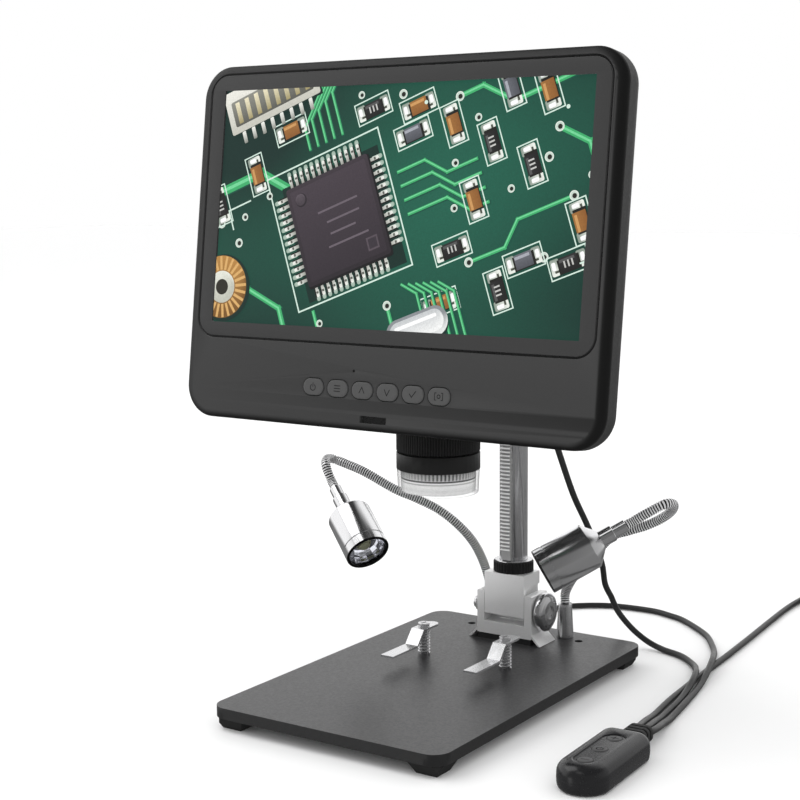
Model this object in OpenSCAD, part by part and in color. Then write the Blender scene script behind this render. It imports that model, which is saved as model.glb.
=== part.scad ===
// Desktop digital microscope with its own screen.
// A weighted plate carries a tilting rack column. The camera head with its screen runs on the column,
// two lamps stand on goosenecks, two spring clips hold the specimen, and a remote lies on the leads.
// Millimetres. The origin is on the table, under the lens, with the screen facing -Y.

/* [Base plate] */
// Width of the plate, left to right
base_w = 120; // [116:1:150]
// Depth of the plate, front to back
base_d = 188; // [186:1:230]
// Thickness of the plate
base_t = 5; // [4:0.5:8]
// Corner radius of the plate
base_r = 8; // [4:0.5:14]
// Distance from the column's axis to the plate's rear edge
base_behind = 24.5; // [24:0.5:40]
// Height of the rubber feet
foot_h = 5.5; // [5:0.5:9]
// Width of a foot where it meets the plate
foot_w = 16; // [12:0.5:20]
// Width of a foot on the table
foot_sole = 10; // [7:0.5:12]
// Distance from the plate's edge to a foot
foot_inset = 1.2; // [0.5:0.1:4]
// Diameter of the two spare holes
spare_hole_d = 4; // [3:0.1:5]
// Distance between the two spare holes
spare_hole_gap = 62; // [56:1:70]
// Distance from the plate's rear edge to the spare holes
spare_hole_edge = 13.6; // [8:0.1:18]

/* [Tilt bracket] */
// Height of the raised pad under the bracket
pad_h = 3; // [2:0.5:4]
// Depth of the bracket, front to back
bracket_d = 16; // [14:0.5:20]
// Thickness of an ear of the bracket
ear_t = 4; // [3:0.5:5]
// Height of the ears above the pad
ear_h = 21.7; // [20:0.1:24]
// Height of the web between the ears
web_h = 6.3; // [4:0.1:6.6]
// Reach of the folded foot flanges
flange_reach = 3.7; // [2:0.1:5]
// Thickness of the folded foot flanges
flange_t = 1.2; // [1:0.1:2]
// Height of the tilt axis above the plate
pivot_h = 15.5; // [15.2:0.1:16.5]
// Diameter of the tilt bolt
pivot_d = 6; // [5:0.5:6]
// Diameter of the tilt lock knob
lock_d = 19.4; // [16:0.2:20]
// Thickness of the tilt lock knob
lock_t = 5; // [4:0.2:7]
// Diameter of the nut on the other end
nut_d = 10; // [9:0.5:12]
// Thickness of that nut
nut_t = 4; // [3:0.5:6]
// Diameter of the bracket screws
bracket_screw_d = 3; // [2.5:0.1:3.5]
// Distance between the bracket screws
bracket_screw_gap = 12; // [9:0.5:14]

/* [Column] */
// Diameter of the column
column_d = 14; // [13.6:0.1:14.2]
// Length of the column
column_l = 225; // [215:1:240]
// Distance of the column behind the lens axis
column_y = 69.5; // [68.5:0.1:70]
// Height of the column's lower end above the plate
column_foot = 22; // [21.6:0.1:24]
// Width of the rack
rack_w = 5; // [4:0.1:6]
// Module of the rack and its pinion
tooth_module = 0.6; // [0.55:0.01:0.62]
// Teeth on the pinion
pinion_teeth = 18; // [18:1:18]
// Depth of the groove that holds the rack
groove_depth = 2; // [1.5:0.1:2.5]
// Height of the rack's first tooth above the plate
rack_start = 45; // [43:1:60]
// Plain length of the column above the last tooth
rack_margin = 7; // [6:0.5:15]
// Outer diameter of the stop collar
collar_d = 20; // [18:0.5:24]
// Height of the stop collar
collar_h = 5.8; // [4:0.1:6]
// Diameter of the cap on the column
cap_d = 17; // [16:0.5:22]
// Height of the cap
cap_h = 8; // [6:0.5:12]
// Thickness of the saddle's plates
saddle_t = 2; // [1.5:0.1:2.2]
// Height of the saddle's top above the plate
saddle_h = 34.5; // [34:0.1:35]
// Height of the saddle's upper side plates
saddle_cheek_h = 6.5; // [5:0.1:8]

/* [Carriage] */
// Height of the pinion above the plate
head_h = 151; // [148:1:155]
// Width of the carriage block
carriage_w = 34; // [32:1:36]
// Height of the carriage block
carriage_h = 45; // [42:1:50]
// Height of the carriage block below the pinion
carriage_drop = 21; // [18:0.5:24]
// Wall of the carriage behind the column
carriage_wall = 7.4; // [5:0.2:10]
// Width of the carriage's mounting flange
carriage_flange_w = 56; // [56:1:60]
// Thickness of the mounting flange
carriage_flange_t = 5; // [4:0.2:6]
// Diameter of the carriage screws
carriage_screw_d = 3; // [2.5:0.1:3.5]
// Diameter of the height knobs
knob_d = 28; // [24:1:30]
// Width of a height knob
knob_w = 14; // [10:1:18]
// Length of a height knob's neck
knob_neck = 4.8; // [3:0.1:8]
// Ridges round a height knob
knob_ridges = 40; // [24:1:60]

/* [Camera pod] */
// Width of the pod
pod_w = 64; // [62:1:70]
// Depth of the pod behind the lens axis
pod_back = 27; // [26:0.5:28]
// Height of the pod
pod_h = 89; // [84:1:95]
// Height of the pod's floor below the pinion
pod_drop = 35; // [33:0.5:36]
// Wall thickness of the pod
pod_wall = 2.2; // [1.8:0.1:3]
// Corner radius of the pod
pod_r = 6; // [3:0.5:8]
// Diameter of the lens barrel and its rings
barrel_d = 38.5; // [36:0.5:40]
// Diameter of the barrel inside the focus ring
barrel_core_d = 35; // [32:0.5:35]
// Bore of the lens barrel
barrel_bore_d = 20; // [16:0.5:24]
// Height of the focus ring
focus_ring_h = 10.8; // [9:0.1:13]
// Ridges round the focus ring
focus_ring_ridges = 72; // [48:1:90]
// Height of the barrel's plain band below the focus ring
band_h = 7.8; // [6:0.1:10]
// Height of the clear skirt
skirt_h = 11; // [8:0.5:14]
// Diameter of the clear skirt at its lower edge
skirt_end_d = 37; // [34:0.5:38]
// Wall thickness of the clear skirt
skirt_wall = 1.5; // [1:0.1:2]

/* [Screen] */
// Backward lean of the screen, in degrees
lean = 7.45; // [5:0.05:10]
// Distance of the screen's centre ahead of the lens axis
screen_ahead = 38.2; // [38:0.1:39]
// Height of the screen's centre above the pinion
screen_rise = 65.5; // [64:0.5:67]
// Width of the housing
housing_w = 217; // [214:1:230]
// Height of the housing
housing_h = 161.4; // [159:0.2:170]
// Height of the housing's top above the screen's centre
housing_top = 64.4; // [63.4:0.1:68]
// Corner radius of the housing
housing_r = 15; // [10:0.5:18]
// Depth of the housing
housing_t = 24.5; // [23:0.1:26]
// Thickness of the front face
face_t = 2.5; // [2.4:0.1:3]
// Wall thickness of the rear shell
wall = 2; // [1.6:0.1:2.4]
// Border of the housing beside the cover glass
glass_side = 6.25; // [5.5:0.25:8]
// Border of the housing above the cover glass
glass_above = 4.45; // [4.4:0.05:6]
// Height of the plain chin below the cover glass
chin_h = 37.65; // [36:0.05:41]
// Corner radius of the cover glass
glass_r = 8.5; // [6:0.5:10]
// Thickness of the cover glass
glass_t = 1.1; // [0.8:0.1:1.2]
// Groove round the cover glass
glass_groove = 1; // [0.6:0.1:1.1]
// Border of the glass beside the panel
panel_side = 4.75; // [4:0.05:6]
// Border of the glass above and below the panel
panel_edge = 4.15; // [3.8:0.05:6]
// Thickness of the panel
panel_t = 5; // [4:0.1:6]

/* [Buttons] */
// Width of a button
button_w = 11; // [9:0.1:11.6]
// Height of a button
button_h = 7.4; // [6:0.1:9]
// Distance from one button to the next
button_pitch = 13.15; // [13:0.05:13.6]
// Height of the button row above the housing's lower edge
button_rise = 17.5; // [15:0.1:19]
// Distance that the buttons stand out of the face
button_proud = 0.5; // [0.3:0.1:1]
// Travel of the buttons
button_travel = 0.8; // [0.5:0.1:1]
// Width of the card slot
slot_w = 13.6; // [12:0.1:16]
// Height of the card slot
slot_h = 3; // [2:0.1:3.4]
// Height of the card slot above the housing's lower edge
slot_rise = 5; // [4.6:0.1:6]

/* [Specimen clips] */
// Distance between the two clip screws
clip_gap = 45.4; // [44:0.2:52]
// Place of the clip screws behind the lens axis
clip_y = 22; // [18:0.5:24]
// Diameter of a clip screw
clip_screw_d = 3; // [2.5:0.1:3.2]
// Diameter of a clip screw's head
clip_head_d = 5.6; // [5:0.1:6.4]
// Height of a clip screw's head
clip_head_h = 1.8; // [1.4:0.1:2.4]
// Height of the clips above the plate
clip_h = 13.6; // [12.6:0.1:15]
// Height of the clips' fingers above the plate
finger_h = 7; // [6:0.1:8]
// Width of a clip
clip_w = 7; // [6:0.1:8]
// Thickness of a clip
clip_t = 0.95; // [0.7:0.05:1.2]
// Length of a clip's finger
finger_l = 21; // [16:0.5:26]
// Outer diameter of a clip spring
spring_d = 6.2; // [5.8:0.1:7]
// Wire diameter of a clip spring
spring_wire = 0.85; // [0.7:0.05:0.9]
// Curls of a clip spring
spring_curls = 8; // [6:1:8]

/* [Lamps] */
// Distance between the two lamp sockets
socket_gap = 44; // [42:0.5:46]
// Place of the lamp sockets behind the lens axis
socket_y = 83; // [82:0.5:84]
// Diameter of a socket at the plate
socket_d = 8.6; // [7.5:0.1:10]
// Diameter of a socket at its top
socket_top_d = 6.7; // [6:0.1:7.4]
// Height of a socket
socket_h = 17.6; // [17:0.1:18]
// Diameter of the socket's stud in the plate
socket_stud_d = 4; // [3:0.1:5]
// Outer diameter of a gooseneck over its ribs
neck_d = 4.6; // [4:0.1:5]
// Diameter of a gooseneck between its ribs
neck_root_d = 3.7; // [3.2:0.1:3.8]
// Bore of a gooseneck
neck_bore_d = 2.2; // [1.6:0.1:2.6]
// Ribs on a gooseneck
neck_ribs = 52; // [40:1:52]
// Diameter of a lamp
lamp_d = 22; // [20:0.5:24]
// Length of a lamp's straight part
lamp_l = 25.5; // [22:0.5:28]
// Length of a lamp's cone
lamp_cone_l = 5.5; // [4:0.5:8]
// Length of each step of a lamp's ferrule
ferrule_step = 6.75; // [5:0.25:7]
// Diameter of a lamp's ferrule
ferrule_d = 8; // [7:0.1:9]
// Diameter of a lamp's lens
lens_d = 18.8; // [17:0.1:19]

/* [Remote and leads] */
// Length of the remote
remote_l = 55; // [52:1:62]
// Width of the remote
remote_w = 22.5; // [20:0.5:24]
// Height of the remote
remote_h = 12; // [11:0.5:14]
// Height of the remote's lower half
remote_split = 5; // [4:0.2:6]
// Wall thickness of the remote
remote_wall = 1.6; // [1.2:0.1:2]
// Diameter of a remote button
remote_button_d = 6.4; // [5.5:0.1:7.5]
// Distance from one remote button to the next
remote_button_pitch = 14.1; // [12:0.1:14.5]
// Length of the remote's gland
gland_l = 13; // [10:0.5:13]
// Width of the remote's gland
gland_w = 11; // [11:0.5:13]
// Diameter of the leads
lead_d = 3; // [2.6:0.1:3]
// Length of the plug's grip
plug_l = 33; // [26:1:40]
// Width of the plug's grip
plug_w = 15.5; // [14:0.5:18]
// Length of the plug's metal shell
plug_shell_l = 18.8; // [17:0.1:19]

/* [Hidden] */
$fn = 64;

// Clearances
run_gap = 0.05;         // running fits, on the radius
side_gap = 0.2;         // between plates that turn past each other
part_gap = 0.2;         // between neighbouring pieces
button_gap = 0.3;       // round a button
tilt_gap = 0.5;         // between the ear and the lock knob
cut = 1;                // how far a cutting shape runs past a face

// Levels
plate_top = foot_h + base_t;
base_rear = column_y + base_behind;
base_mid = base_rear - base_d / 2;
pad_top = plate_top + pad_h;
pivot_z = plate_top + pivot_h;
column_r = column_d / 2;
column_z = plate_top + column_foot;
column_top = column_z + column_l;
saddle_top = plate_top + saddle_h;
rack_top = column_top - rack_margin;
pin_z = plate_top + head_h;

// Tilt bracket
saddle_w = 22.4;
ear_x = saddle_w / 2 + side_gap;
ear_out = ear_x + ear_t;
bracket_front = column_y - 9.5;
bracket_back = bracket_front + bracket_d;
bracket_mid = (bracket_front + bracket_back) / 2;
ear_top = pad_top + ear_h;
hub_r = pivot_h - pad_h - web_h - part_gap - 0.1;
lock_x = ear_out + tilt_gap;
nut_x = ear_out + nut_t;
stub = 2.1;
saddle_core_w = 18.4;
saddle_core_back = column_y + column_r + run_gap + 1.45;

// Rack and pinion: involute teeth of 20 degrees
pressure = 20;
tooth_pitch = PI * tooth_module;
backlash = 0.05;
pinion_r = tooth_module * pinion_teeth / 2;
pinion_tip = pinion_r + tooth_module;
pinion_root = pinion_r - 1.25 * tooth_module;
pinion_base = pinion_r * cos(pressure);
pinion_y = column_y - column_r - 1.4 - pinion_r;
rack_line = pinion_y + pinion_r;
rack_tip = rack_line - tooth_module;
rack_root = rack_line + 1.25 * tooth_module;
rack_back = column_y - column_r + groove_depth;
rack_foot = saddle_top + collar_h + 0.7;
first_tooth = ceil((plate_top + rack_start - pin_z) / tooth_pitch);
last_tooth = floor((rack_top - pin_z) / tooth_pitch);
shaft_r = pinion_tip;
shaft_end_r = 4;

// Carriage
carriage_z = pin_z - carriage_drop;
carriage_back = column_y + column_r + run_gap + carriage_wall;
flange_screw_x = carriage_flange_w / 2 - 5;
flange_screw_edge = 5;
flange_z = carriage_z - 2.5;
flange_h = carriage_h + 5;
screw_head_r = 2.8;
screw_head_h = 2;
knob_x = carriage_w / 2 + 0.2 + knob_neck;
knob_neck_r = 8;

// Camera pod and lens
pod_z = pin_z - pod_drop;
ring_z = pod_z - part_gap - focus_ring_h;
band_z = ring_z - part_gap - band_h;
skirt_z = band_z - skirt_h;
barrel_flange_h = 2.3;
barrel_l = 39;
barrel_top = pod_z + barrel_l;
board_t = 1.6;
board_w = 38;
sensor_w = 12;
sensor_t = 1.2;
lens_t = 3;
lens_pitch = 8;
barrel_lip = 2.4;
barrel_wall = 4;
barrel_flange = 3;
light_r = 13.4;
light_w = 3;

// Screen: u to the right, v up along the face, depth behind the face
screen_z = pin_z + screen_rise;
housing_v = housing_top - housing_h / 2;
roll_w = 4.6;
roll_h = 3.4;
housing_low = housing_top - housing_h;
glass_w = housing_w - 2 * glass_side;
glass_h = housing_h - glass_above - chin_h;
glass_x = -0.4;
glass_v = housing_top - glass_above - glass_h / 2;
panel_w = glass_w - 2 * panel_side;
panel_h = glass_h - 2 * panel_edge;
panel_shift = [0.4, -0.3];
panel_x = glass_x + panel_shift[0];
panel_v = glass_v + panel_shift[1];
button_v = housing_low + button_rise;
slot_v = housing_low + slot_rise;
glass_set = 0.1;
pocket_t = glass_set + glass_t + 0.05;
lip_t = 1.2;
lip_depth = face_t + 2.5;
back_levels = [[0.37, 0], [0.53, 0.049], [0.69, 0.171], [0.84, 0.367], [0.94, 0.612], [1, 0.898]];
level_t = 0.3;
shell_screw_u = [-76, -42, 42, 76];
shell_screw_v = housing_low + 33;
post_r = 3.2;
post_split = 14;
cable_w = 44;
cable_v = [-68, -32];
vent_w = 34;
vent_h = 1.8;
vent_pitch = 4.6;
button_u = [for (i = [0:5]) -34.3 + i * button_pitch];
button_flange = 1;
key_board_side = 13.5;
key_board_h = 20;
key_switch_w = 4;
switch_depth = face_t + part_gap + button_flange + button_travel + 1.5;
indicator_u = -13.2;
indicator_v = button_v + 8.1;
slot_u = -1.6;

// Clips
clip_x = clip_gap / 2;
clip_top = plate_top + clip_h - run_gap;
clip_knee = 5.5;
clip_slope = 5.5;
clip_tail = 10;
screw_slot = 0.7;

// Lamps: where each lens lies and how its axis leans (angle from upright, then compass angle)
left_lens_at = [-51, 16, 58];
left_lamp_tilt = [54.2, 151.8];
right_lens_at = [38, 30, 57.1];
right_lamp_tilt = [61.4, 38.2];
lamp_wall = 1.4;
lamp_hollow = 18;
lamp_len = lamp_l + lamp_cone_l + 2 * ferrule_step;
neck_gap = 0.3;
socket_x = socket_gap / 2;

// Remote
remote_at = [110.2, -51.5];
remote_turn = 2;
remote_tail_r = 6;
remote_mid = -2;
strip_w = 10;
strip_l = 37;
strip_set = 0.5;
gland_h = 7;
gland_z = 6;
gland_ribs = 4;
lead_r = lead_d / 2;
boss_w = 9;
boss_l = 8;
boss_h = 4.2;
boss_at = [-26, 88];

// Plug on the camera pod
dc_at = [pod_w / 2, 16, pin_z - 23];
dc_w = 10;
dc_l = 12;
dc_h = 8;

// Routes of the leads, chosen by hand along the table
floor_z = 1.7;
lamp_route = [
    [-26, 92.02, 3.4], [-26, 94, 3.4], [-26, 108, floor_z], [-26.4, 130, floor_z], [-25, 152, floor_z],
    [-17.5, 167, floor_z], [0, 178.6, floor_z], [23, 181.3, floor_z], [36, 177.6, floor_z],
    [47.8, 171.4, floor_z], [67.4, 153.2, floor_z], [78, 137, floor_z], [84.6, 124, 2.2], [90, 110, 4.4],
    [93.4, 100, 5.1], [96.6, 87, 3.9], [99.7, 70, 1.9], [103.9, 44, floor_z], [107, 22, floor_z],
    [109.2, 9, 3.4], [111.4, 0, 5], [112.3, -7, 5.9], [112.4, -10.75, 6]
];
monitor_lower_route = [
    [108.8, -10.9, 6], [108.7, -7, 5.9], [107.4, 1, 5], [105.2, 10, 3.4], [103, 22, floor_z],
    [100.6, 44, floor_z], [98.6, 58, 2.7], [96.6, 70, 4.6], [93.8, 80, 5], [90, 88.5, 3.7],
    [84.4, 99.4, 2], [73, 110.8, floor_z], [60, 116.4, 1.8], [51, 117.5, 4.4], [43.6, 115.2, 10.4],
    [38.2, 110.4, 19.3], [37.3, 103.4, 29]
];
monitor_upper_route = [
    [37.3, 103.3, 29.15], [36.6, 97.9, 36.65], [38.7, 90, 48.8], [39.2, 80, 62.4], [38.7, 72, 73.5],
    [39.6, 57, 89.8], [38.9, 44, 111.5], [38.3, 36, 126], [37.7, 28.6, 136], [37.3, 25, 138.3],
    [37.3, 22.05, 138.5]
];
power_route = [
    [105.2, -11, 6], [105, -7, 5.9], [103.6, -1, 5], [101.4, 8.7, 3.6], [98.9, 23, floor_z],
    [96.4, 44, floor_z], [94.9, 64.2, floor_z], [93.9, 80, floor_z], [93, 96, floor_z],
    [92, 115, floor_z], [90.8, 136, floor_z], [88.8, 166, floor_z], [86.6, 196.4, floor_z],
    [84.9, 225, floor_z], [84.9, 242, floor_z], [85.5, 252, floor_z], [85.5, 258.9, floor_z]
];
left_neck_route = [
    [-22, 83, 28.4], [-22, 83, 33], [-23.2, 79.2, 44], [-25.5, 73, 55.4], [-31, 67, 65],
    [-39.6, 61.5, 73.1], [-50.5, 57, 78.6], [-61, 54, 82.6], [-76.5, 50.2, 90.4], [-87.4, 48.6, 94],
    [-92.8, 48.3, 95.3], [-94.9, 45.2, 96.6], [-93.5, 40.1, 96.6], [-91.1, 36.5, 94.6],
    [-88.5, 35.2, 90.7]
];
right_neck_route = [
    [22, 83, 28.4], [22, 83, 33], [25, 81.2, 38.4], [30, 78.4, 44.4], [40.7, 74, 54.9],
    [52.2, 72.2, 67.4], [61, 72.7, 71.4], [68.5, 74.5, 74.2], [76.4, 75.7, 78.4],
    [82.9, 73.6, 83.5], [86.1, 68, 87.9], [84.5, 62.1, 88.7], [79.3, 59.1, 85.6]
];

// Coil of the lead that is put away
coil_at = [109.5, 262];
coil_r = 24;
coil_pitch = 3.5;
coil_turns = 4;
coil_dip = 0.8;
coil_steps = 24;
coil_tail = [[133.5, 258, 5.2], [133.5, 252, 4.8], [133.5, 245, 4.4], [133.5, 238, 4.3]];
plug_h = 8;
plug_z = coil_tail[3][2];
plug_y = coil_tail[3][1] - 0.1;

// ---- Flat outlines ----

module rounded(w, h, r) {
    square([w - 2 * r, h], center = true);
    square([w, h - 2 * r], center = true);
    for (x = [-1, 1], y = [-1, 1])
        translate([x * (w / 2 - r), y * (h / 2 - r)])
            circle(r);
}

// Ring of blunt ridges, for knobs and knurled rings
module ridged(r, depth, n) {
    polygon([
        for (i = [0:n - 1], k = [[0, 0], [0.3, 0], [0.5, 1], [0.8, 1]])
            (r - k[1] * depth) * [cos(360 * (i + k[0]) / n), sin(360 * (i + k[0]) / n)]
    ]);
}

// ---- Swept tubes ----

function unit(v) = v / norm(v);
function last(list) = list[len(list) - 1];
function tangents(p) = [
    for (i = [0:len(p) - 1])
        unit(p[min(i + 1, len(p) - 1)] - p[max(i - 1, 0)])
];
function square_to(u, t) = unit(u - (u * t) * t);
function side_ways(t, ref) = [
    for (i = 0, u = square_to(ref, t[0]); i < len(t); i = i + 1, u = i < len(t) ? square_to(u, t[i]) : u)
        u
];
function ring(c, t, u, r, n) = [
    for (k = [0:n - 1])
        c + r * (cos(360 * k / n) * u + sin(360 * k / n) * cross(t, u))
];
function rings(p, radii, n, ref) = let (t = tangents(p), u = side_ways(t, ref)) [
    for (i = [0:len(p) - 1]) each ring(p[i], t[i], u[i], radii[i], n)
];
function skin(count, n, from, out) = [
    for (i = [0:count - 2], k = [0:n - 1], half = [0, 1])
        let (
            a = from + i * n + k,
            b = from + i * n + (k + 1) % n,
            c = b + n,
            d = a + n
        )
        half == 0 ? (out ? [a, d, c] : [a, c, d]) : (out ? [a, c, b] : [a, b, c])
];

// Closed tube along points, with a fan of triangles on each end
module tube(p, r, n, ref = [0, 0, 1]) {
    end = (len(p) - 1) * n;
    faces = concat(
        skin(len(p), n, 0, true),
        [for (k = [1:n - 2]) [0, k, k + 1]],
        [for (k = [1:n - 2]) [end, end + k + 1, end + k]]
    );
    polyhedron(rings(p, [for (i = p) r], n, ref), faces);
}

// Least distance between the surfaces of a tube's turns; points nearer than `near` along it are one turn
function self_gap(p, r, near) = min([
    for (i = [0:len(p) - 1 - near], j = [i + near:len(p) - 1]) norm(p[i] - p[j])
]) - 2 * r;

// Smooth curve through points
function curve_point(p, i, s) =
    let (
        a = p[max(i - 1, 0)],
        b = p[i],
        c = p[i + 1],
        d = p[min(i + 2, len(p) - 1)]
    )
    0.5 * (2 * b + (c - a) * s + (2 * a - 5 * b + 4 * c - d) * s * s + (3 * b - a - 3 * c + d) * s * s * s);
function curve(p, steps) = concat(
    [for (i = [0:len(p) - 2], k = [0:steps - 1]) curve_point(p, i, k / steps)],
    [last(p)]
);
function run_lengths(p) = [
    for (i = 0, s = 0; i < len(p); i = i + 1, s = i < len(p) ? s + norm(p[i] - p[i - 1]) : s) s
];
function even_points(p, count) = let (
    s = run_lengths(p),
    x = [for (i = [0:len(p) - 1]) [s[i], p[i][0]]],
    y = [for (i = [0:len(p) - 1]) [s[i], p[i][1]]],
    z = [for (i = [0:len(p) - 1]) [s[i], p[i][2]]]
) [
    for (k = [0:count - 1])
        let (at = last(s) * k / (count - 1))
        [lookup(at, x), lookup(at, y), lookup(at, z)]
];

// ---- Places ----

// Shapes drawn in u, v with their depth behind the screen's face
module on_screen() {
    translate([0, -screen_ahead, screen_z])
        rotate([90 - lean, 0, 0])
            children();
}
module slab(from, to) {
    translate([0, 0, -to])
        linear_extrude(to - from)
            children();
}
module on_remote() {
    translate(remote_at)
        rotate(remote_turn)
            children();
}
function lamp_way(tilt) = [sin(tilt[0]) * cos(tilt[1]), sin(tilt[0]) * sin(tilt[1]), cos(tilt[0])];
module on_lamp(at, tilt) {
    translate(at)
        rotate([0, tilt[0], tilt[1]])
            children();
}

// ---- Base ----

module plate_outline(inset) {
    translate([0, base_mid])
        rounded(base_w - inset, base_d - inset, base_r);
}
module base_plate() {
    color("dimgray")
    difference() {
        union() {
            translate([0, 0, foot_h])
                linear_extrude(base_t)
                    plate_outline(0);
            translate([-ear_out + 0.4, bracket_front, plate_top - cut])
                cube([2 * ear_out - 0.8, bracket_d, pad_h + cut]);
            translate([boss_at[0] - boss_w / 2, boss_at[1] - boss_l / 2, foot_h - boss_h])
                cube([boss_w, boss_l, boss_h + cut]);
        }
        for (x = [-1, 1]) {
            translate([x * spare_hole_gap / 2, base_rear - spare_hole_edge, foot_h - cut])
                cylinder(h = base_t + 2 * cut, d = spare_hole_d);
            translate([x * bracket_screw_gap / 2, bracket_mid, foot_h - cut]) {
                cylinder(h = base_t + pad_h + 2 * cut, r = bracket_screw_d / 2 + run_gap);
                cylinder(h = cut + screw_head_h + part_gap, r = screw_head_r + part_gap);
            }
            translate([x * clip_x, clip_y, foot_h - cut])
                cylinder(h = base_t + 2 * cut, r = clip_screw_d / 2 + run_gap);
            translate([x * socket_x, socket_y, foot_h - cut])
                cylinder(h = base_t + 2 * cut, r = socket_stud_d / 2 + run_gap);
        }
    }
}

// A foot tapers to its sole and follows the plate's corner
module foot_prism() {
    rotate([90, 0, 0])
        linear_extrude(foot_w + 2 * cut, center = true)
            polygon([
                [-foot_sole / 2, 0], [foot_sole / 2, 0],
                [foot_w / 2, foot_h], [-foot_w / 2, foot_h]
            ]);
}
module rubber_feet() {
    color("black")
    intersection() {
        linear_extrude(foot_h)
            plate_outline(foot_inset);
        for (x = [-1, 1], y = [-1, 1])
            translate([
                x * (base_w / 2 - foot_inset - foot_w / 2),
                base_mid + y * (base_d / 2 - foot_inset - foot_w / 2),
                0
            ])
                intersection() {
                    foot_prism();
                    rotate(90)
                        foot_prism();
                }
    }
}

module tilt_bracket() {
    color("silver")
    difference() {
        union() {
            translate([-ear_out, bracket_front, pad_top])
                cube([2 * ear_out, bracket_d, web_h]);
            for (x = [0, 1])
                mirror([x, 0, 0])
                    translate([ear_x, bracket_back, 0])
                        rotate([90, 0, 0])
                            linear_extrude(bracket_d)
                                bracket_side();
        }
        translate([0, column_y, pivot_z])
            rotate([0, 90, 0])
                cylinder(h = 2 * ear_out + 2 * cut, r = pivot_d / 2 + run_gap, center = true);
        for (x = [-1, 1])
            translate([x * bracket_screw_gap / 2, bracket_mid, pad_top - cut])
                cylinder(h = web_h, r = bracket_screw_d / 2 + run_gap);
    }
}
module bracket_side() {
    low = plate_top + part_gap;
    polygon([
        [0, pad_top], [0, ear_top - 0.4], [0.4, ear_top], [ear_t - 0.4, ear_top], [ear_t, ear_top - 0.4],
        [ear_t, low + flange_reach + flange_t], [ear_t + flange_reach + flange_t, low],
        [ear_t + flange_reach, low], [ear_t, low + flange_reach], [ear_t - 0.2, pad_top]
    ]);
}
module bracket_screws() {
    color("silver")
    for (x = [-1, 1])
        translate([x * bracket_screw_gap / 2, bracket_mid, foot_h + part_gap]) {
            difference() {
                cylinder(h = screw_head_h, r = screw_head_r);
                screw_cross(screw_head_r, -cut, 1);
            }
            cylinder(h = base_t + pad_h + web_h - 2, d = bracket_screw_d);
        }
}
module screw_cross(r, from, to) {
    translate([0, 0, from])
        linear_extrude(to - from) {
            square([1.4 * r, screw_slot], center = true);
            square([screw_slot, 1.4 * r], center = true);
        }
}

// Bolt through both ears, with its nut on the left and a plain end for the lock knob on the right
module pivot_bolt() {
    color("silver")
    translate([0, column_y, pivot_z])
        rotate([0, 90, 0]) {
            translate([0, 0, -nut_x - stub])
                cylinder(h = nut_x + stub + lock_x + lock_t - 0.6, d = pivot_d);
            translate([0, 0, -nut_x])
                cylinder(h = nut_t - part_gap, d = nut_d, $fn = 6);
        }
}
module tilt_knob() {
    color("gainsboro")
    translate([lock_x, column_y, pivot_z])
        rotate([0, 90, 0])
            rotate_extrude()
                polygon([
                    [pivot_d / 2 + run_gap, 0], [lock_d / 2 - 1.2, 0], [lock_d / 2, 1],
                    [lock_d / 2, lock_t - 1.6], [lock_d / 2 - 1.6, lock_t - 0.5],
                    [lock_d / 2 - 4, lock_t], [pivot_d / 2 + run_gap, lock_t]
                ]);
}

module neck_sockets() {
    color("gainsboro")
    for (x = [-1, 1])
        translate([x * socket_x, socket_y, 0]) {
            translate([0, 0, plate_top])
                cylinder(h = 1.2, d = socket_d);
            translate([0, 0, plate_top + 1.2])
                cylinder(h = socket_h - 1.2, d1 = socket_d, d2 = socket_top_d);
            translate([0, 0, foot_h + 0.5])
                cylinder(h = base_t, d = socket_stud_d);
        }
}

// ---- Specimen clips ----

module clip_screws() {
    color("silver")
    for (x = [-1, 1])
        translate([x * clip_x, clip_y, 0]) {
            translate([0, 0, foot_h + 0.5])
                cylinder(h = clip_h + base_t, d = clip_screw_d);
            difference() {
                translate([0, 0, plate_top + clip_h])
                    cylinder(h = clip_head_h, d = clip_head_d);
                screw_cross(
                    clip_head_d / 2,
                    plate_top + clip_h + clip_head_h - 0.9,
                    plate_top + clip_h + 9
                );
            }
        }
}
function spring_points(x) =
    let (
        r = (spring_d - spring_wire) / 2,
        low = plate_top + spring_wire / 2 + run_gap,
        high = clip_top - clip_t - spring_wire / 2 - run_gap,
        n = 8 * spring_curls,
        lead_in = 1.1 * spring_wire
    )
    concat(
        [[x + r, clip_y - lead_in, low]],
        [for (k = [0:n]) [x + r * cos(45 * k), clip_y + r * sin(45 * k), low + (high - low) * k / n]],
        [[x + r, clip_y + lead_in, high]]
    );
module clip_spring(x) {
    points = spring_points(x);
    echo("clip spring least gap", self_gap(points, spring_wire / 2, 5));
    color("silver")
        tube(points, spring_wire / 2, 6);
}
module left_clip_spring() {
    clip_spring(-clip_x);
}
module right_clip_spring() {
    clip_spring(clip_x);
}

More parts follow.
